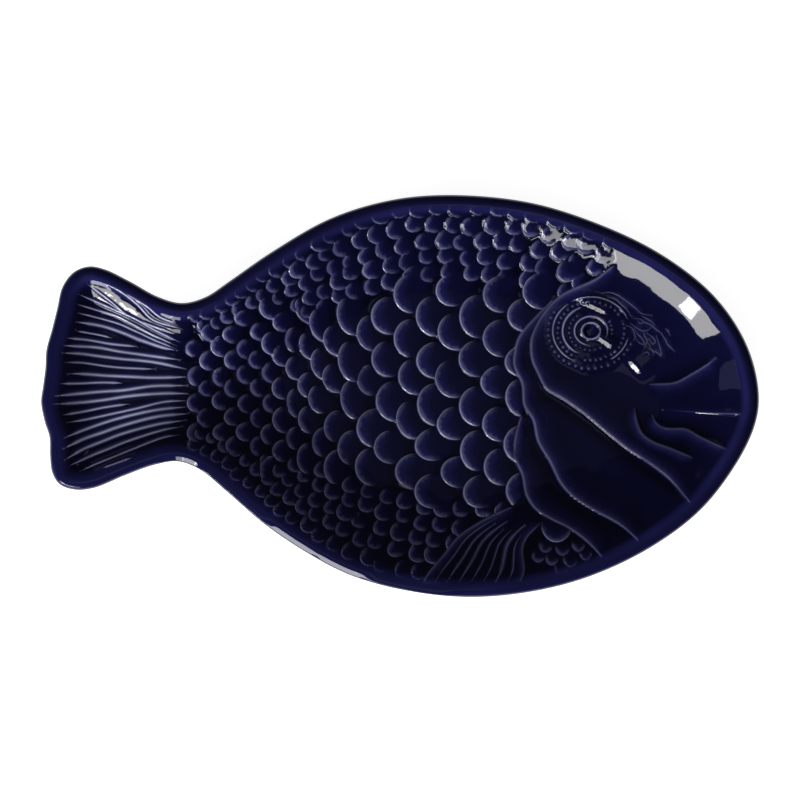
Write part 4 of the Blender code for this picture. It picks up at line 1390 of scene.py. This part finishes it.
def glaze_material(name, depth_group, grain_group, body, broken, drift):
    material, tree, shader = new_material(name)
    marks = parts_of(tree, put_node(tree, "ShaderNodeAttribute", attribute_name="glaze_tint")["Vector"])
    depth = put_node(tree, "ShaderNodeGroup", {
        "Break": marks["X"], "Glow": marks["Y"], "Pool": marks["Z"], "Pooled": POOLED_GLAZE, "Body": body,
        "Thin": THIN_GLAZE, "Broken": broken, "Drift Scale": drift,
    }, node_tree=depth_group)
    set_inputs(tree, shader, {
        "Base Color": depth["Colour"],
        "Roughness": 0.045,
        "IOR": 1.52,
        "Normal": grain_bump(tree, grain_group, *GLAZE_GRAIN),
    })
    return material


def clay_material(grain_group):
    material, tree, shader = new_material("bare stoneware")
    base = colour_mix(tree, noise(tree, 60.0, 4.0), DARK_CLAY, PALE_CLAY)
    set_inputs(tree, shader, {
        "Base Color": colour_mix(tree, mapped(tree, noise(tree, 900.0, 2.0), 0.58, 0.70), base, CLAY_SPECKS),
        "Roughness": 0.78,
        "Normal": grain_bump(tree, grain_group, *CLAY_GRAIN),
    })
    return material


def floor_material():
    """Pale floor that reads as white to the camera and in reflections, and keeps the dish's shadow."""
    material, tree, shader = new_material("pale floor")
    path = put_node(tree, "ShaderNodeLightPath")
    seen = maths(tree, "MAXIMUM", path["Is Camera Ray"], path["Is Glossy Ray"])
    seen = maths(tree, "MAXIMUM", seen, path["Is Transmission Ray"])
    set_inputs(tree, shader, {
        "Base Color": FLOOR_GREY,
        "Roughness": 0.9,
        "Specular IOR Level": 0.0,
        "Emission Color": WHITE,
        "Emission Strength": maths(tree, "MULTIPLY", seen, 0.85),
    })
    return material


FLOOR_HALF = 6.0


def lay_floor():
    corners = [(x * FLOOR_HALF, y * FLOOR_HALF, 0.0) for x, y in ((-1, -1), (1, -1), (1, 1), (-1, 1))]
    floor = mesh_object("floor", corners, [(0, 1, 2, 3)])
    floor.data.materials.append(floor_material())
    return floor


# Rectangular lamps: (name, place, target, width, height, brightness where 1 is white, colour, shows in the glaze)
PLAIN_LIGHT = (1.0, 1.0, 1.0)
SKY_LIGHT = (0.70, 0.74, 1.0)
BLUE_LIGHT = (0.52, 0.54, 1.0)
LAMPS = [
    ("fill", (0.0, 0.0, 2.4), (0.0, 0.0, 0.0), 3.0, 3.0, 0.52, PLAIN_LIGHT, False),
    ("side fill", (-1.10, -1.20, 0.60), (0.0, 0.0, 0.03), 2.0, 0.7, 6.5, PLAIN_LIGHT, False),
    ("side softbox", (-0.729, -1.063, 0.515), (0.08, 0.03, 0.03), 0.78, 0.28, 8.0, PLAIN_LIGHT, True),
    ("second softbox", (-0.33, -1.32, 0.52), (0.0, 0.0, 0.03), 0.26, 0.22, 5.4, PLAIN_LIGHT, True),
    ("softbox centre", (-0.775, -0.935, 0.51), (0.14, 0.047, 0.03), 0.14, 0.12, 20.0, PLAIN_LIGHT, True),
    ("back panel", (-1.20, 1.06, 0.36), (0.05, -0.02, 0.03), 1.2, 0.40, 0.15, SKY_LIGHT, True),
    ("left panel", (-1.44, -0.36, 0.66), (0.15, 0.02, 0.03), 0.40, 0.34, 0.45, BLUE_LIGHT, True),
    ("top panel", (0.05, 0.02, 1.5), (0.05, 0.02, 0.0), 0.90, 0.90, 0.04, SKY_LIGHT, True),
    ("slanted panel", (-0.13, -0.36, 1.5), (0.0, 0.0, 0.03), 0.40, 0.34, 0.26, SKY_LIGHT, True),
]


def light_studio():
    for name, place, target, width, height, brightness, colour, glossy in LAMPS:
        light = bpy.data.lights.new(name, "AREA")
        light.shape = "RECTANGLE"
        light.size = width
        light.size_y = height
        light.energy = brightness * math.pi * width * height
        light.color = colour
        lamp = plain_object(name, light)
        lamp.location = place
        lamp.rotation_euler = (Vector(target) - Vector(place)).to_track_quat("-Z", "Y").to_euler()
        lamp.visible_camera = False
        lamp.visible_glossy = glossy
    world = bpy.data.worlds.new("studio")
    bpy.context.scene.world = world
    world.use_nodes = True
    tree = world.node_tree
    way = parts_of(tree, put_node(tree, "ShaderNodeTexCoord")["Generated"])
    low = mapped(tree, way["Z"], 0.0, 0.10, 0.25, 0.03)
    seen = put_node(tree, "ShaderNodeLightPath")["Is Camera Ray"]
    set_inputs(tree, tree.nodes["Background"], {"Color": WHITE, "Strength": maths(tree, "MAXIMUM", low, seen)})


CAMERA_DISTANCE = 3.0
FRAME_WIDTH = 0.39106
FRAME_CENTRE_Y = -0.00196


def place_camera():
    data = bpy.data.cameras.new("camera")
    data.sensor_fit = "HORIZONTAL"
    data.sensor_width = 36.0
    data.lens = data.sensor_width * CAMERA_DISTANCE / FRAME_WIDTH
    data.clip_end = 100.0
    camera = plain_object("camera", data)
    camera.location = (0.0, FRAME_CENTRE_Y, GLAZE_TOP - LIP + CAMERA_DISTANCE)
    bpy.context.scene.camera = camera


SEATS = scale_seats()
BEADS = bead_seats()
NO_SEATS = np.zeros((0, 6))
POOL_REACH = 20
POOL_GAIN = 3000.0


def build_mould(name, tree, seats, die, paths, section, material):
    """A mould of one layer of the relief."""
    mould = seat_object(name, seats)
    verts, faces, tints = die
    helpers = {
        "Die": mesh_object("die", verts, faces, tint=tints),
        "Paths": path_object("paths", paths),
        "Section": section_object("section", section),
    }
    made_by_nodes(mould, tree, {**helpers, "Material": material})
    for helper in helpers.values():
        bpy.data.objects.remove(helper, do_unlink=True)
    return mould


def pressed_piece(name, skin, tree, moulds, material, rounding):
    points, shares, faces = skin
    piece = mesh_object(name, points, faces, shares=shares)
    made_by_nodes(piece, tree, {
        **moulds, "Rounding": rounding, "Pool Reach": POOL_REACH, "Pool Gain": POOL_GAIN, "Material": material,
    })
    piece.data.shade_smooth()
    return piece


def build_dish():
    groups = (glaze_depth_group(), fired_grain_group())
    cobalt = glaze_material("cobalt glaze", *groups, COAT_GLAZE, COAT_BROKEN, COAT_DRIFT)
    base_cobalt = glaze_material("base glaze", *groups, BASE_GLAZE, BASE_BROKEN, BASE_DRIFT)
    clay = clay_material(groups[1])
    mould = mould_tree()
    layers = (
        (SEATS, scale_die(), [], RAY_SECTION),
        (NO_SEATS, bead_die(), fold_paths(), FOLD_SECTION),
        (NO_SEATS, bead_die(), ray_paths(), RAY_SECTION),
        (BEADS, bead_die(), line_paths(), LINE_SECTION),
        (NO_SEATS, bead_die(), eye_ring_paths(), EYE_RING_SECTION),
    )
    moulds = {name: build_mould(name, mould, *layer, cobalt) for name, layer in zip(LAYERS, layers)}
    tree = press_tree()
    hidden = hex_grid(HIDDEN_SPACING)
    hidden = hidden[RIM.distance(hidden) > LIP + 0.5 * HIDDEN_SPACING]
    outer = dish_surface(0.0, RIM_SPACING, relief_points(), UNDER_SPACING, 1.0)
    inner = dish_surface(GLAZE_THICKNESS, HIDDEN_RIM_SPACING, hidden, HIDDEN_SPACING, GLAZE_INNER_PRESS)
    body = dish_surface(COAT, HIDDEN_RIM_SPACING, hidden, HIDDEN_SPACING, CLAY_PRESS)
    coat = glaze_shell(outer, inner, lambda zones: max(zones) <= OUTER_STOP, True)
    base = glaze_shell(outer, inner, lambda zones: min(zones) >= INNER_STOP, False)
    body = (body.points, body.shares, body.faces)
    pieces = (
        (pressed_piece("cobalt_coat", coat, tree, moulds, cobalt, 1), "glaze_coat", "cobalt_glaze"),
        (pressed_piece("base_panel_glaze", base, tree, moulds, base_cobalt, 0), "base_glaze", "base_glaze"),
        (pressed_piece("stoneware_body", body, tree, moulds, clay, 0), "clay_body", "stoneware"),
    )
    for mould in moulds.values():
        bpy.data.objects.remove(mould, do_unlink=True)
    for piece, node, slot in pieces:
        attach(piece, "root")
        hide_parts(node)


bpy.context.scene.view_settings.view_transform = "Standard"
build_dish()
lay_floor()
light_studio()
place_camera()
